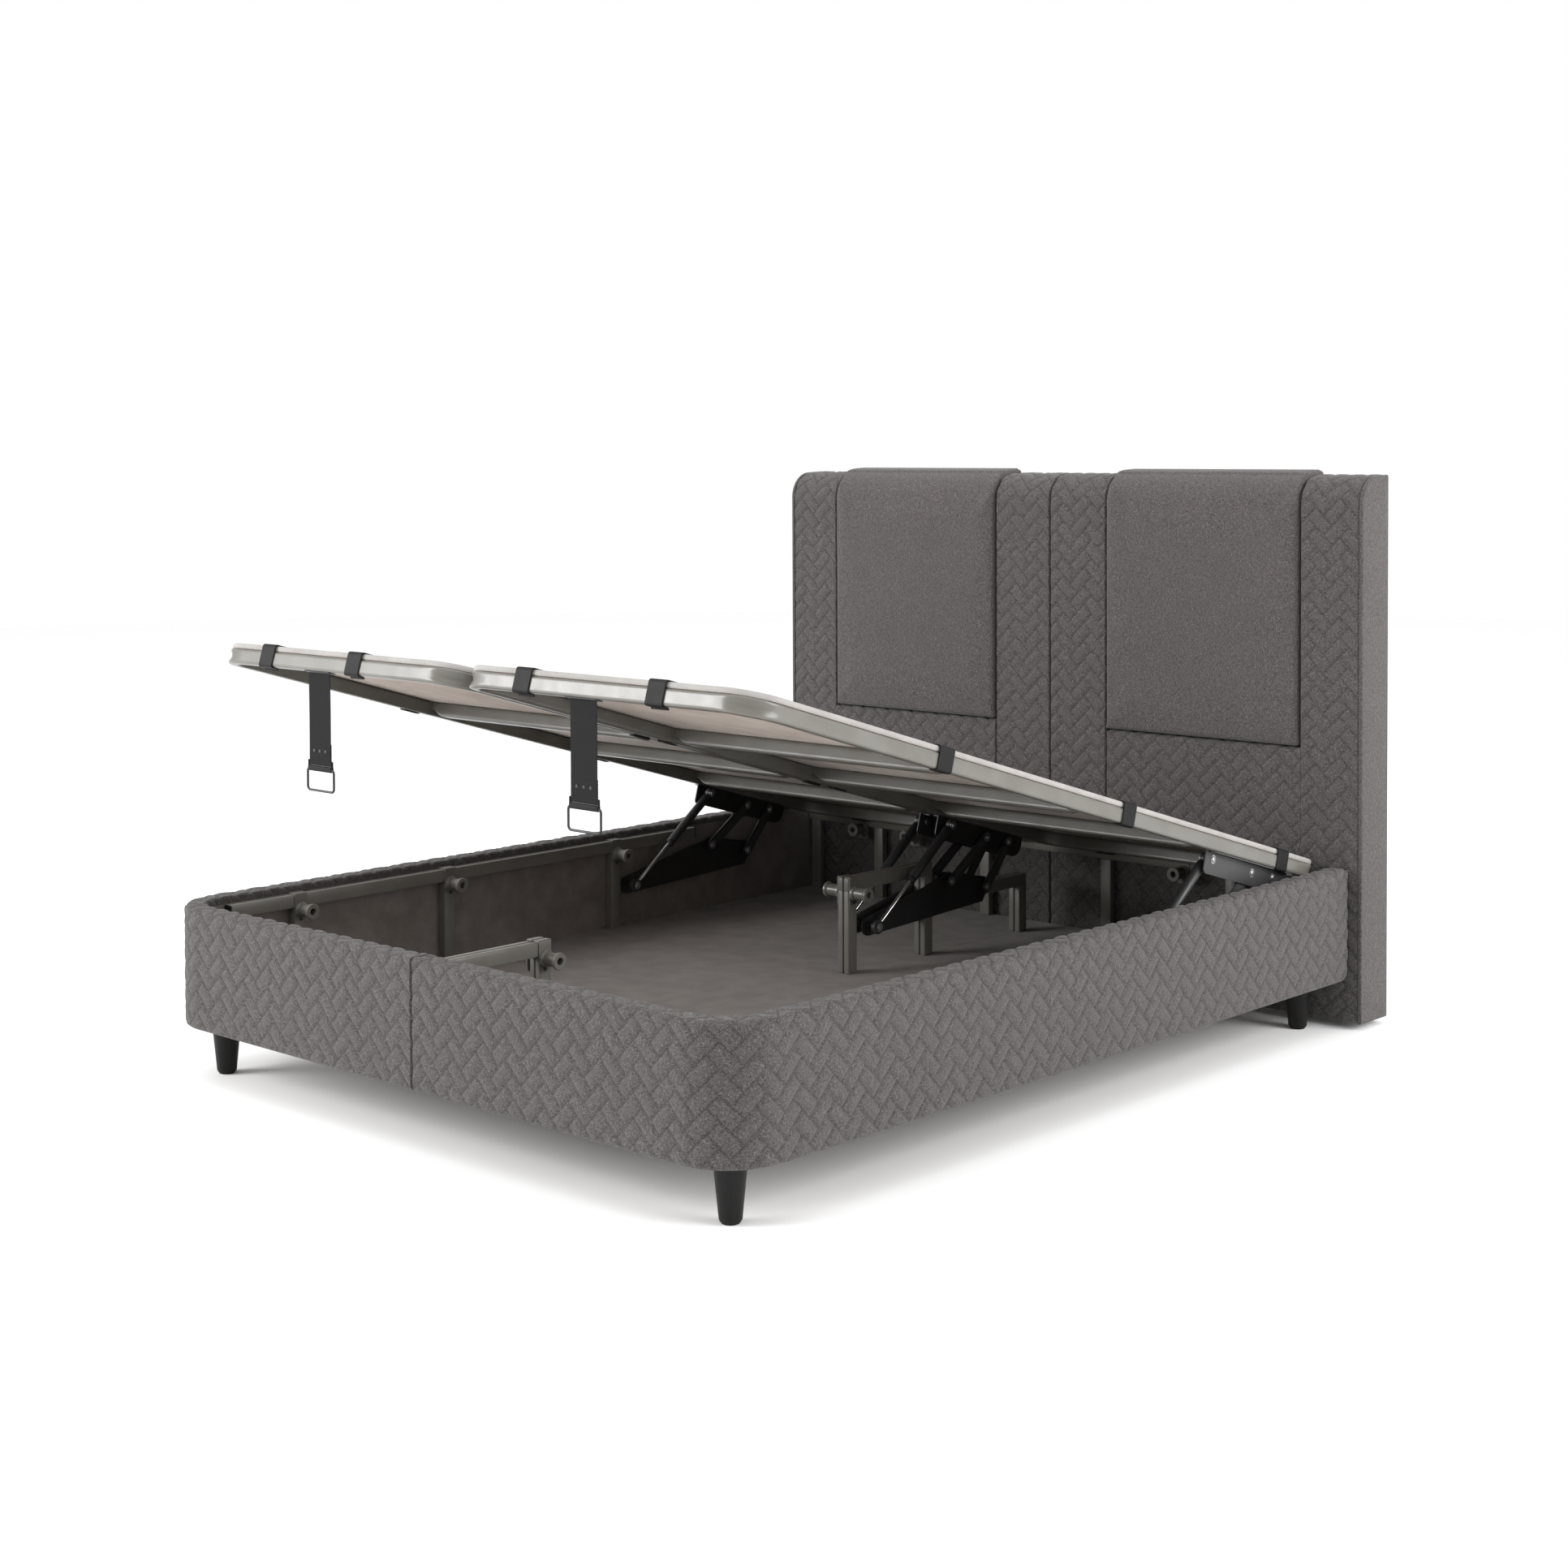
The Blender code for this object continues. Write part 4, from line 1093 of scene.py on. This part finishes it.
@dataclass
class HookBracket:
    """Bent steel hook with a spool-shaped socket boss."""

    width: float = 0.033
    sheet: float = 0.003
    drop: float = 0.062
    boss_radius: float = 0.0175
    boss_length: float = 0.045
    boss_drop: float = 0.0344

    def sheet_part(self, place: Matrix, tab: float) -> Solid:
        """Hook seen from the side: X is the way that it faces, Y up, from the top edge of its rail."""
        corners = [(0, -self.drop), (0, self.sheet), (-tab, self.sheet)]
        path = fillet_outline(corners, [0, 0.003, 0], [0.01, 0.002, 0.01], closed=False)
        path.points[:, 0] += self.sheet
        strip = rectangle((-self.sheet, -self.width / 2), (0, self.width / 2), 0.0009, 0.002)
        return moved(sweep(path, strip), place @ Matrix.Rotation(math.pi / 2, 4, "X"))

    def boss_part(self, place: Matrix) -> Solid:
        """Spool that points the way that the bracket faces."""
        big, length = self.boss_radius, self.boss_length
        profile = [
            (0, 0), (big, 0), (big, 0.005), (big - 0.002, 0.0075), (big - 0.0035, 0.009),
            (big - 0.0035, length - 0.011), (big - 0.001, length - 0.008), (big, length - 0.006),
            (big, length - 0.0015), (big - 0.0015, length),
            (0.0085, length), (0.007, length - 0.0015), (0.007, length - 0.030), (0, length - 0.030),
        ]
        return moved(lathe(profile, 40), place @ shift((self.sheet, 0, -self.boss_drop)) @ LAID)

    def socket_part(self, place: Matrix) -> Solid:
        """Socket screw deep in the boss, and the screw beside it."""
        depth = self.sheet + self.boss_length - 0.030
        screw = moved(bolt(0.0055, 0.006), place @ shift((depth, 0, -self.boss_drop)) @ LAID)
        low = place @ shift((self.sheet, 0.0, -self.drop + 0.007)) @ LAID
        return joined(screw, moved(bolt(0.0035, 0.0025), low))

    def build(
        self, name: str, spots: Sequence[tuple[Vector, float]], tab: float, stands_for: Sequence[str] = ()
    ) -> None:
        """Build brackets as one piece, and their screws as another.

        Args:
            name: the pieces' common name.
            spots: top edge of the rail's face, and the compass angle that the bracket faces.
            tab: length of the tab over the rail.
            stands_for: nodes that they replace.
        """
        places = [shift(spot) @ Matrix.Rotation(angle, 4, "Z") for spot, angle in spots]
        hooks = [self.sheet_part(place, tab) for place in places]
        bosses = [self.boss_part(place) for place in places]
        add_piece(name, joined(*hooks, *bosses), GREY_STEEL, "root", stands_for)
        screws = joined(*[self.socket_part(place) for place in places])
        add_piece(f"{name}_screws", screws, BLACK_STEEL, "root")


def bolt(radius: float, height: float) -> Solid:
    """Hexagon head on a washer, standing on Z."""
    under, shoulder, rim = height * 0.2, height * 0.8, radius * 1.45
    head = lathe([(0, height), (radius * 0.82, height), (radius, shoulder), (radius, under), (0, under)], 6)
    washer = lathe([(0, height * 0.22), (rim, height * 0.22), (rim, 0), (0, 0)], 24)
    return joined(head, washer)


@dataclass
class StorageBox:
    """Floor, welded frames and hook brackets inside the skirts."""

    rail_height: float = 0.030
    post_width: float = 0.030
    round: float = 0.0025
    side_stations: tuple[float, ...] = (0.3105, 0.7376, 1.2756)
    foot_posts: tuple[float, ...] = (0.170, 0.330)
    head_posts: tuple[float, ...] = (1.270, 1.545, 1.915)
    low_rail_top: float = 0.280
    twin_gap: float = 0.0028

    def __post_init__(self) -> None:
        """Find where the foot end is."""
        self.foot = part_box("skirt_left")[0].y

    def build(self) -> None:
        """Build the frames, brackets and legs."""
        dress(LINING, "floor_board_left", "floor_board_right")
        for side in Side:
            self.side_frame(side)
        self.center_frames()
        self.head_rail()
        for node in ("leg_foot_left", "leg_foot_right", "leg_head_left", "leg_head_right", "leg_center"):
            Leg(node).build()

    def post(self, near: float, far: float, y: float, bottom: float, rail_top: float) -> Solid:
        """Post between two sides, standing at a depth under a rail."""
        half, top = self.post_width / 2, rail_top - self.rail_height + 0.001
        return rounded_block((near, y - half, bottom), (far, y + half, top), self.round)

    def side_frame(self, side: Side) -> None:
        """Build the rail, posts and brackets of one side.

        Args:
            side: half of the bed.
        """
        node = f"side_frame_{side.label}"
        low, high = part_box(node)
        under = high.z - self.rail_height
        parts = [rounded_block((low.x, low.y, under), high, self.round)]
        for station in self.side_stations:
            y, reach = self.foot + station, self.post_width / 2 + 0.014
            parts.append(self.post(low.x, high.x, y, low.z, high.z))
            foot_low, foot_high = (low.x - 0.001, y - reach, low.z), (high.x, y + reach, low.z + 0.003)
            parts.append(rounded_block(foot_low, foot_high, 0.001))
        add_piece(f"welded_{node}", joined(*parts), GREY_STEEL, "root", [node])
        caps = [
            rounded_block((low.x + 0.001, y0, under + 0.001), (high.x - 0.001, y1, high.z - 0.001), 0.0015)
            for y0, y1 in ((low.y - 0.003, low.y + 0.001), (high.y - 0.001, high.y + 0.003))
        ]
        add_piece(f"end_caps_{node}", joined(*caps), BLACK_PLASTIC, "root")
        inner = low.x if side is Side.RIGHT else high.x
        angle = math.pi if side is Side.RIGHT else 0.0
        spots = [(Vector((inner, self.foot + y, high.z)), angle) for y in self.side_stations]
        nodes = [f"hook_bracket_{side.label}_{n}" for n in (1, 2, 3)]
        HookBracket().build(f"hook_brackets_{side.label}", spots, 0.024, nodes)

    def center_frames(self) -> None:
        """Build the twin middle rails, with bosses on both sides."""
        foot_low, foot_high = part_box("center_frame_foot")
        head_low, head_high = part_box("center_frame_head")
        split = self.foot + self.head_posts[1] + self.post_width / 2
        head_rails = ((head_low.y, split, head_high.z), (split, head_high.y, self.low_rail_top))
        plans = (
            ("center_frame_foot", foot_low, ((foot_low.y, foot_high.y, foot_high.z),), self.foot_posts),
            ("center_frame_head", head_low, head_rails, self.head_posts),
        )
        for node, low, rails, posts in plans:
            parts = []
            for sign in (-1, 1):
                near, far = sorted((sign * self.twin_gap / 2, sign * abs(low.x)))
                for start, end, top in rails:
                    under = top - self.rail_height
                    parts.append(rounded_block((near, start, under), (far, end, top), self.round))
                for post in posts:
                    y = self.foot + post
                    top = next(t for start, end, t in rails if start - 0.02 <= y <= end)
                    parts.append(self.post(near, far, y, low.z, top))
            add_piece(f"welded_{node}", joined(*parts), GREY_STEEL, "root", [node])
        half = abs(head_low.x)
        spots = []
        for y in (foot_high.y - 0.018, head_low.y + 0.018):
            for sign, angle in ((-1, math.pi), (1, 0.0)):
                spots.append((Vector((sign * half, y, foot_high.z)), angle))
        HookBracket().build("center_hook_brackets", spots, half - 0.001)

    def head_rail(self) -> None:
        """Build the cross rail at the head end, with bosses that face the foot."""
        low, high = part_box("floor_board_left")
        inner = abs(low.x)
        y, back, top = high.y - 0.022, high.y - 0.002, 0.352
        under, half = top - self.rail_height, self.post_width / 2
        parts = [rounded_block((-inner + 0.002, y, under), (inner - 0.002, back, top), self.round)]
        for x in (-inner + 0.03, -0.55, -0.19, 0.19, 0.55, inner - 0.03):
            parts.append(rounded_block((x - half, y, high.z), (x + half, back, under + 0.001), self.round))
        add_piece("head_cross_rail", joined(*parts), GREY_STEEL, "root")
        spots = [(Vector((x, y, top)), -math.pi / 2) for x in (-0.60, -0.42, 0.42, 0.60)]
        HookBracket().build("head_hook_brackets", spots, 0.018)


# Platforms


@dataclass
class Platform:
    """Half platform: pinched tube ring, crossbars, covered board and clips, built shut and tilted open."""

    side: Side
    tube_bottom: float = 0.3604
    tube_width: float = 0.025
    tube_height: float = 0.032
    corner: float = 0.075
    front: float = 0.055
    length: float = 1.989
    inner: float = 0.005
    outer: float = 0.800
    crossbars: tuple[float, ...] = (0.610, 1.065, 1.520)
    crossbar_width: float = 0.030
    board_thickness: float = 0.012
    board_inset: float = 0.003
    pinch: float = 0.0065

    def __post_init__(self) -> None:
        """Find the foot end and the tilt."""
        self.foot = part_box("skirt_left")[0].y
        lift = next(j for j in frame["joints"] if j["name"] == f"{self.side.label}_lift")
        center = Vector((0, *lift["pos_m"][1:]))
        turn = Matrix.Rotation(math.radians(lift["range_deg"][0]), 4, "X")
        self.tilt = shift(center) @ turn @ shift(-center)
        self.body = f"{self.side.label}_platform"
        self.near, self.far = self.foot + self.front, self.foot + self.front + self.length
        self.tube_top = self.tube_bottom + self.tube_height
        self.board_top = self.tube_top + WELD + self.board_thickness

    def opened(self, solid: Solid) -> Solid:
        """Mirror a right-hand shape for its side and tilt it open."""
        return moved(on_side(solid, self.side), self.tilt)

    def build(self) -> None:
        """Build every piece of the half platform."""
        self.frame()
        self.board()
        self.clips()
        self.strap_anchor()

    def frame(self) -> None:
        """Build the tube ring with pinched bends, and its crossbars."""
        path = rectangle((self.inner, self.near), (self.outer, self.far), self.corner, 0.006)
        section = rectangle((-self.tube_width, self.tube_bottom), (0, self.tube_top), 0.0055, 0.003)
        bend = np.abs(path.normals).min(axis=1)
        bend = np.convolve(np.r_[bend[-9:], bend, bend[:9]], np.ones(7) / 7, "same")[9:-9]
        bend = np.clip(bend / bend.max(), 0, 1) ** 0.8
        middle = (self.tube_bottom + self.tube_top) / 2

        def adjust(col: Array, row: Array, out: Array, up: Array) -> Pair:
            """Press the outer wall in along each bend."""
            hollow = np.cos(np.clip((up - middle) / (self.tube_height / 2), -1, 1) * math.pi / 2) ** 1.4
            dent = self.pinch * bend[col] * hollow * (section.normals[row, 0] > 0.3)
            flare = 0.0012 * bend[col] * section.normals[row, 1]
            return out - dent, up + flare

        parts = [sweep(path, section, adjust=adjust)]
        half = self.crossbar_width / 2
        bar = rectangle((-half, 0), (half, self.tube_height), 0.005, 0.004)
        start, end = self.inner + self.tube_width - 0.002, self.outer - self.tube_width + 0.002
        for spot in self.crossbars:
            line = straight((start, 0), (end, 0), 0.008)
            near_end = np.minimum(line.along, line.along[-1] - line.along)
            flat = np.clip(1 - near_end / 0.045, 0, 1)
            flat = flat * flat * (3 - 2 * flat)

            def press(col: Array, row: Array, out: Array, up: Array) -> Pair:
                """Flatten the tube towards its welded ends."""
                top = self.tube_height
                return out * (1 - 0.25 * flat[col]), top + (up - top) * (1 - 0.45 * flat[col])

            shape = sweep(line, bar, shift((0, self.near + spot, self.tube_bottom)), adjust=press)
            parts.append(shape)
        name = f"platform_frame_{self.side.label}"
        add_piece(f"tube_{name}", self.opened(joined(*parts)), GREY_STEEL, self.body, [name])

    def board(self) -> None:
        """Build the covered board with a sewn border."""
        inset = self.board_inset
        low, high = (self.inner + inset, self.near + inset), (self.outer - inset, self.far - inset)
        shape = rectangle(low, high, self.corner - inset, 0.006)
        solid = extruded(shape.points[:-1], self.board_thickness, 0.0042)
        moved(solid, shift((0, 0, self.tube_top + WELD)))
        solid.normal_update()
        top = [f for f in solid.faces if f.normal.z > 0.99]
        for width, depth in ((0.030, 0.0), (0.0025, -0.0014), (0.0025, 0.0014)):
            bmesh.ops.inset_region(solid, faces=top, thickness=width, depth=depth, use_even_offset=True)
        for face in solid.faces:
            face.material_index = int(face.normal.z < -0.5)
        name = f"platform_board_{self.side.label}"
        finishes = (BOARD_COVER, BOARD_UNDERSIDE)
        add_piece(f"covered_{name}", self.opened(solid), finishes, self.body, [name])

    def clip(self, spot: Vector, outward: Vector, hooked: bool, width: float = 0.045) -> Solid:
        """One clip that wraps the board and the tube.

        Args:
            spot: point on the tube's outer face, at its bottom.
            outward: the way that the face looks.
            hooked: whether the lip under the tube ends in a hook, where no rail lies below it.
            width: the clip's length along the tube.

        Returns:
            The clip's mesh.
        """
        gap, sheet = 0.0006, 0.0024
        high = self.board_top - self.tube_bottom + gap
        tip = [(-0.019, -gap - 0.004)] if hooked else []
        corners = [*tip, (-0.016, -gap), (gap, -gap), (gap, high), (-0.032, high)]
        radii = [0.003, 0.003, 0.003, 0.004, 0][-len(corners):]
        path = fillet_outline(corners, radii, [0.004] * 5, closed=False)
        section = rectangle((0, -width / 2), (sheet, width / 2), 0.0008, 0.002)
        along = Vector((-outward.y, outward.x, 0))
        place = shift(spot) @ Matrix((
            (outward.x, 0, -along.x, 0), (outward.y, 0, -along.y, 0), (0, 1, 0, 0), (0, 0, 0, 1)
        ))
        return moved(sweep(path, section), place)

    def clips(self) -> None:
        """Build the clips of the front, outer, middle and rear tubes."""
        base = self.tube_bottom
        front = {Side.LEFT: (0.315, 0.610), Side.RIGHT: (0.205, 0.565)}[self.side]
        middle = {Side.LEFT: (0.54, 1.10), Side.RIGHT: (0.60, 1.165)}[self.side]
        places = [(x, self.near, (0, -1, 0)) for x in front]
        places += [(self.outer, self.near + y, (1, 0, 0)) for y in (0.55, 1.175, 1.80)]
        places += [(self.inner, self.near + y, (-1, 0, 0)) for y in middle]
        places += [(x, self.far, (0, 1, 0)) for x in (0.20, 0.60)]
        parts = [self.clip(Vector((x, y, base)), Vector(way), way[1] < 0) for x, y, way in places]
        name = f"board_clips_{self.side.label}"
        add_piece(name, self.opened(joined(*parts)), BLACK_PLASTIC, self.body)

    def strap_anchor(self) -> None:
        """Build the keeper plate that holds the pull strap under the front tube."""
        strap_low, strap_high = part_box(f"pull_strap_{self.side.label}")
        x = abs(strap_low.x + strap_high.x) / 2
        y = self.near + self.tube_width / 2
        top = self.tube_bottom - WELD
        plate = rounded_block((x - 0.043, y - 0.009, top - 0.0016), (x + 0.043, y + 0.009, top), 0.0006)
        name = f"strap_keeper_{self.side.label}"
        add_piece(name, self.opened(plate), BLACK_STEEL, self.body)


@dataclass
class PullStrap:
    """Webbing strap with rivets, the slide on its end and the wire loop."""

    side: Side
    thickness: float = 0.0016
    fold_length: float = 0.046
    scallop: float = 0.0009
    scallop_pitch: float = 0.0046
    wire_swell: float = 0.0006
    rivet_height: float = 0.030

    def __post_init__(self) -> None:
        """Find where the strap hangs."""
        self.low, self.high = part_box(f"pull_strap_{self.side.label}")
        self.x = (self.low.x + self.high.x) / 2
        self.y = (self.low.y + self.high.y) / 2
        self.body = f"{self.side.label}_strap"

    def build(self) -> None:
        """Build the strap and its fittings."""
        self.webbing()
        self.rivets()
        self.slide()
        self.loop()

    def strip(self, start: float, end: float, y: float, wave: float) -> Solid:
        """Length of webbing between two heights, at one depth."""
        half = (self.high.x - self.low.x) / 2 - self.scallop
        line = straight((self.x, start), (self.x, end), 0.0012)
        section = rectangle((-half, -self.thickness / 2), (half, self.thickness / 2), 0.0007, 0.0035)
        edge = np.clip((np.abs(section.points[:, 0]) - half + 0.004) / 0.004, 0, 1)

        def adjust(col: Array, row: Array, out: Array, up: Array) -> Pair:
            """Scallop the edges, and let the strap hang in a soft wave."""
            beat = np.sin(line.along[col] / self.scallop_pitch * FULL_TURN)
            swing = wave * np.sin((line.points[col, 1] - self.low.z) / (self.high.z - self.low.z) * math.pi)
            return out + np.sign(out) * self.scallop * beat * edge[row], up + swing

        along, across = line.along, section.points[:, 0]
        return sweep(
            line, section, shift((0, y, 0)) @ FRONT_VIEW, adjust=adjust,
            uv=lambda col, row: (float(across[row]), float(along[col])),
        )

    def webbing(self) -> None:
        """Build the strap and the end that folds back up behind it."""
        gap = self.thickness * 0.5 + 0.0001
        front = self.strip(self.low.z, self.high.z, self.y - gap, -0.0006)
        back = self.strip(self.low.z, self.low.z + self.fold_length, self.y + gap, 0.0)
        name = f"pull_strap_{self.side.label}"
        strap = add_piece(f"webbing_{name}", joined(front, back), STRAP_FINISH, self.body, [name])

    def rivets(self) -> None:
        """Build three rivets through both layers."""
        parts = []
        z = self.low.z + self.rivet_height
        for x in (-0.019, 0.0, 0.019):
            for sign, turn in ((-1, math.pi / 2), (1, -math.pi / 2)):
                head = lathe([(0, 0.0013), (0.0019, 0.0011), (0.0031, 0.0006), (0.0036, 0), (0, 0)], 20)
                y = self.y + sign * (self.thickness + 0.0002)
                parts.append(moved(head, shift((self.x + x, y, z)) @ Matrix.Rotation(turn, 4, "X")))
        add_piece(f"strap_rivets_{self.side.label}", joined(*parts), BLACK_STEEL, self.body)

    def slide(self) -> None:
        """Build the frame slide that the webbing folds over."""
        name = f"strap_slide_{self.side.label}"
        low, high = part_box(name)
        parts = [rounded_block(low, (high.x, high.y, high.z - 0.0005), 0.0026, 4)]
        wide, near, far = 0.0028, self.y - 0.0028, self.y + 0.0028
        for x in (low.x, high.x - wide):
            parts.append(rounded_block((x, near, high.z - 0.004), (x + wide, far, high.z + 0.011), 0.0012))
        add_piece(f"frame_{name}", joined(*parts), BLACK_PLASTIC, self.body, [name])

    def loop(self) -> None:
        """Build the wire loop."""
        name = f"pull_loop_{self.side.label}"
        low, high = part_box(name)
        radius = (high.y - low.y) / 2 + self.wire_swell
        path = rectangle((low.x + radius, low.z + radius), (high.x - radius, high.z - radius), 0.008, 0.0016)
        wire = rectangle((-radius, -radius), (radius, radius), radius, 0.0008)
        solid = sweep(path, wire, shift((0, (low.y + high.y) / 2, 0)) @ FRONT_VIEW)
        add_piece(f"wire_{name}", solid, BLACK_STEEL, f"{self.side.label}_loop", [name])


# Lift linkage


@dataclass
class Linkage:
    """Plates, arms and gas strut beside one long tube of a half platform."""

    side: Side
    tube: Tube
    front_pin: tuple[float, float] = (1.748, 0.394)
    rear_pin: tuple[float, float] = (1.8337, 0.3724)
    strut_length: float = 0.340
    sheet: float = 0.003
    layer_gap: float = 0.002
    tube_radius: float = 0.011
    rod_radius: float = 0.005
    eye_radius: float = 0.013
    eye_width: float = 0.012
    foot_eye_radius: float = 0.0165
    tube_length: float = 0.190

    def __post_init__(self) -> None:
        """Find the pivots and the layers."""
        label = self.side.label
        joints = {j["name"]: j for j in frame["joints"]}
        self.foot_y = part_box("skirt_left")[0].y
        sign = self.side.value
        edge = sign * (0.800 if self.tube is Tube.OUTER else 0.005)
        self.inward = -sign if self.tube is Tube.OUTER else sign
        web = edge + self.inward * (0.025 - 0.001 - self.sheet)
        self.web = web
        self.arm = web + self.inward * (self.sheet + self.layer_gap)
        self.strut = self.arm + self.inward * (self.sheet + self.layer_gap + self.tube_radius)
        self.base = web - self.inward * (self.sheet + self.layer_gap)
        self.front_base = joints[f"{label}_front_arm_swing"]["pos_m"][1:]
        self.rear_base = joints[f"{label}_rear_arm_swing"]["pos_m"][1:]
        self.strut_pin = joints[f"{label}_strut_swing"]["pos_m"][1:]
        axis = joints[f"{label}_strut_stroke"]["axis"]
        self.slope = math.atan2(-axis[2], -axis[1])
        self.strut_foot = [self.strut_pin[i] + axis[i + 1] * self.strut_length for i in (0, 1)]
        self.tag = f"{label}_{self.tube.value}"

    def build(self) -> None:
        """Build the linkage's pieces."""
        dress(
            BLACK_STEEL,
            *[f"{part}_{self.tag}" for part in ("platform_plate", "base_plate", "front_arm", "rear_arm")],
        )
        self.gas_strut()
        self.fasteners()

    def gas_strut(self) -> None:
        """Build the gas strut's tube and rod with their eyes."""
        label = self.side.label
        place = shift((self.strut, *self.strut_pin)) @ Matrix.Rotation(self.slope - math.pi / 2, 4, "X")
        radius, length = self.tube_radius, self.tube_length
        profile = [
            (0, -0.009), (0.0055, -0.009), (0.0055, -0.014), (radius - 0.0015, -0.015), (radius, -0.0175),
            (radius, -length + 0.012), (radius - 0.0008, -length + 0.0105), (radius, -length + 0.009),
            (radius, -length + 0.001), (radius - 0.001, -length), (0.0058, -length),
            (0.0054, -length + 0.003), (0, -length + 0.003),
        ]
        tube = joined(moved(lathe(profile, 36), place), self.eye(self.strut_pin, self.eye_radius, 0.0046))
        name = f"gas_strut_{self.tag}"
        add_piece(f"{name}_body", tube, BLACK_STEEL, f"{label}_strut_tubes", [f"{name}_tube"])
        radius, end = self.rod_radius, self.foot_eye_radius - self.strut_length
        shaft = [
            (0, -length + 0.02), (radius, -length + 0.02), (radius, end + 0.004), (0.0042, end + 0.002),
            (0.0042, end - 0.001), (0, end - 0.001),
        ]
        rod = moved(lathe(shaft, 28), place)
        add_piece(f"{name}_shaft", rod, ROD_STEEL, f"{label}_strut_rods", [f"{name}_rod"])
        eye = self.eye(self.strut_foot, self.foot_eye_radius, 0.0125)
        add_piece(f"{name}_foot_eye", eye, BLACK_STEEL, f"{label}_strut_rods")

    def eye(self, point: Floats, radius: float, bore: float) -> Solid:
        """Round eye with a hole, across the strut's layer."""
        half, edge = self.eye_width / 2, 0.0012
        profile = [
            (bore, -half), (radius - edge, -half), (radius, -half + edge), (radius, half - edge),
            (radius - edge, half), (bore, half), (bore, -half),
        ]
        return moved(lathe(profile, 32), along_x(self.strut, *point))

    def fasteners(self) -> None:
        """Build the nuts, heads and washers of the plate and base pivots."""
        label, way = self.side.label, self.inward
        fronts = [(pin[0] + self.foot_y, pin[1]) for pin in (self.front_pin, self.rear_pin)]
        bases = [self.front_base, self.rear_base]
        arm_face = self.arm + way * (self.sheet + 0.0006)
        tip = self.strut + way * (self.eye_width / 2 + 0.0006)
        for name, body, back, head, pins, strut_pin in (
            ("platform", f"{label}_platform", self.web, 0.0035, fronts, self.strut_pin),
            ("base", "root", self.base - way * self.sheet, 0.005, bases, self.strut_foot),
        ):
            ends = (*pins, strut_pin)
            parts = [moved(bolt(0.0068, head), along_x(back, *point, sign=-way)) for point in ends]
            parts += [moved(bolt(0.0072, 0.006), along_x(arm_face, *point, sign=way)) for point in pins]
            parts.append(moved(bolt(0.0072, 0.0055), along_x(tip, *strut_pin, sign=way)))
            add_piece(f"{name}_bolts_{self.tag}", joined(*parts), PLATED_STEEL, body)


# Studio


@dataclass
class Studio:
    """Pale floor, soft light and the camera."""

    position: tuple[float, float, float] = (3.6621, -3.9872, 1.3543)
    azimuth: float = math.radians(42.741)
    pitch: float = math.radians(1.850)
    roll: float = math.radians(-0.251)
    lens: float = 55.63
    shift: float = -0.167

    def build(self) -> None:
        """Set up the camera, floor, world and lights."""
        self.camera()
        self.floor()
        self.light()

    def camera(self) -> None:
        """Place the camera."""
        data = bpy.data.cameras.new("camera")
        data.lens, data.sensor_width, data.shift_y = self.lens, 36.0, self.shift
        data.dof.use_dof = False
        data.clip_end = 60.0
        camera = bpy.data.objects.new("camera", data)
        bpy.context.scene.collection.objects.link(camera)
        turn = Matrix.Identity(4)
        for angle, axis in ((self.azimuth, "Z"), (math.pi / 2 - self.pitch, "X"), (self.roll, "Z")):
            turn = turn @ Matrix.Rotation(angle, 4, axis)
        camera.matrix_world = shift(self.position) @ turn
        bpy.context.scene.camera = camera

    @staticmethod
    def floor() -> None:
        """Make the floor."""
        solid = bmesh.new()
        bmesh.ops.create_circle(solid, cap_ends=True, segments=96, radius=14.0)
        mesh = bpy.data.meshes.new("studio_floor")
        solid.to_mesh(mesh)
        solid.free()
        paint = bpy.data.materials.new("matt_white_floor")
        paint.use_nodes = True
        shader = paint.node_tree.nodes["Principled BSDF"]
        shader.inputs["Base Color"].default_value = linear("#FAFAFA")
        shader.inputs["Roughness"].default_value = 0.9
        mesh.materials.append(paint)
        floor = bpy.data.objects.new("studio_floor", mesh)
        bpy.context.scene.collection.objects.link(floor)

    def light(self) -> None:
        """Light the world and hang three soft boxes."""
        world = bpy.data.worlds.new("studio_world")
        world.use_nodes = True
        background = world.node_tree.nodes["Background"]
        background.inputs["Color"].default_value = (1, 1, 1, 1)
        background.inputs["Strength"].default_value = 1.0
        bpy.context.scene.world = world
        bpy.context.scene.view_settings.view_transform = "Standard"
        for name, place, size, power in (
            ("ceiling_box", (0.4, -0.8, 4.6), 3.4, 45.0),
            ("left_box", (-4.2, -6.0, 3.0), 3.6, 520.0),
            ("right_box", (6.4, 1.9, 3.0), 3.6, 400.0),
        ):
            data = bpy.data.lights.new(name, "AREA")
            data.energy, data.size = power, size
            lamp = bpy.data.objects.new(name, data)
            bpy.context.scene.collection.objects.link(lamp)
            aim = Vector((0, -0.3, 0.5)) - Vector(place)
            lamp.matrix_world = shift(place) @ aim.to_track_quat("-Z", "Y").to_matrix().to_4x4()


def main() -> None:
    """Build the bed base around the frame."""
    logging.basicConfig(level=logging.INFO, format="%(message)s")
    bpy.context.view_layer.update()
    Studio().build()
    StorageBox().build()
    Headboard().build()
    for side in Side:
        Skirt(side).build()
        Platform(side).build()
        PullStrap(side).build()
        for tube in Tube:
            Linkage(side, tube).build()


if __name__ == "__main__":
    main()
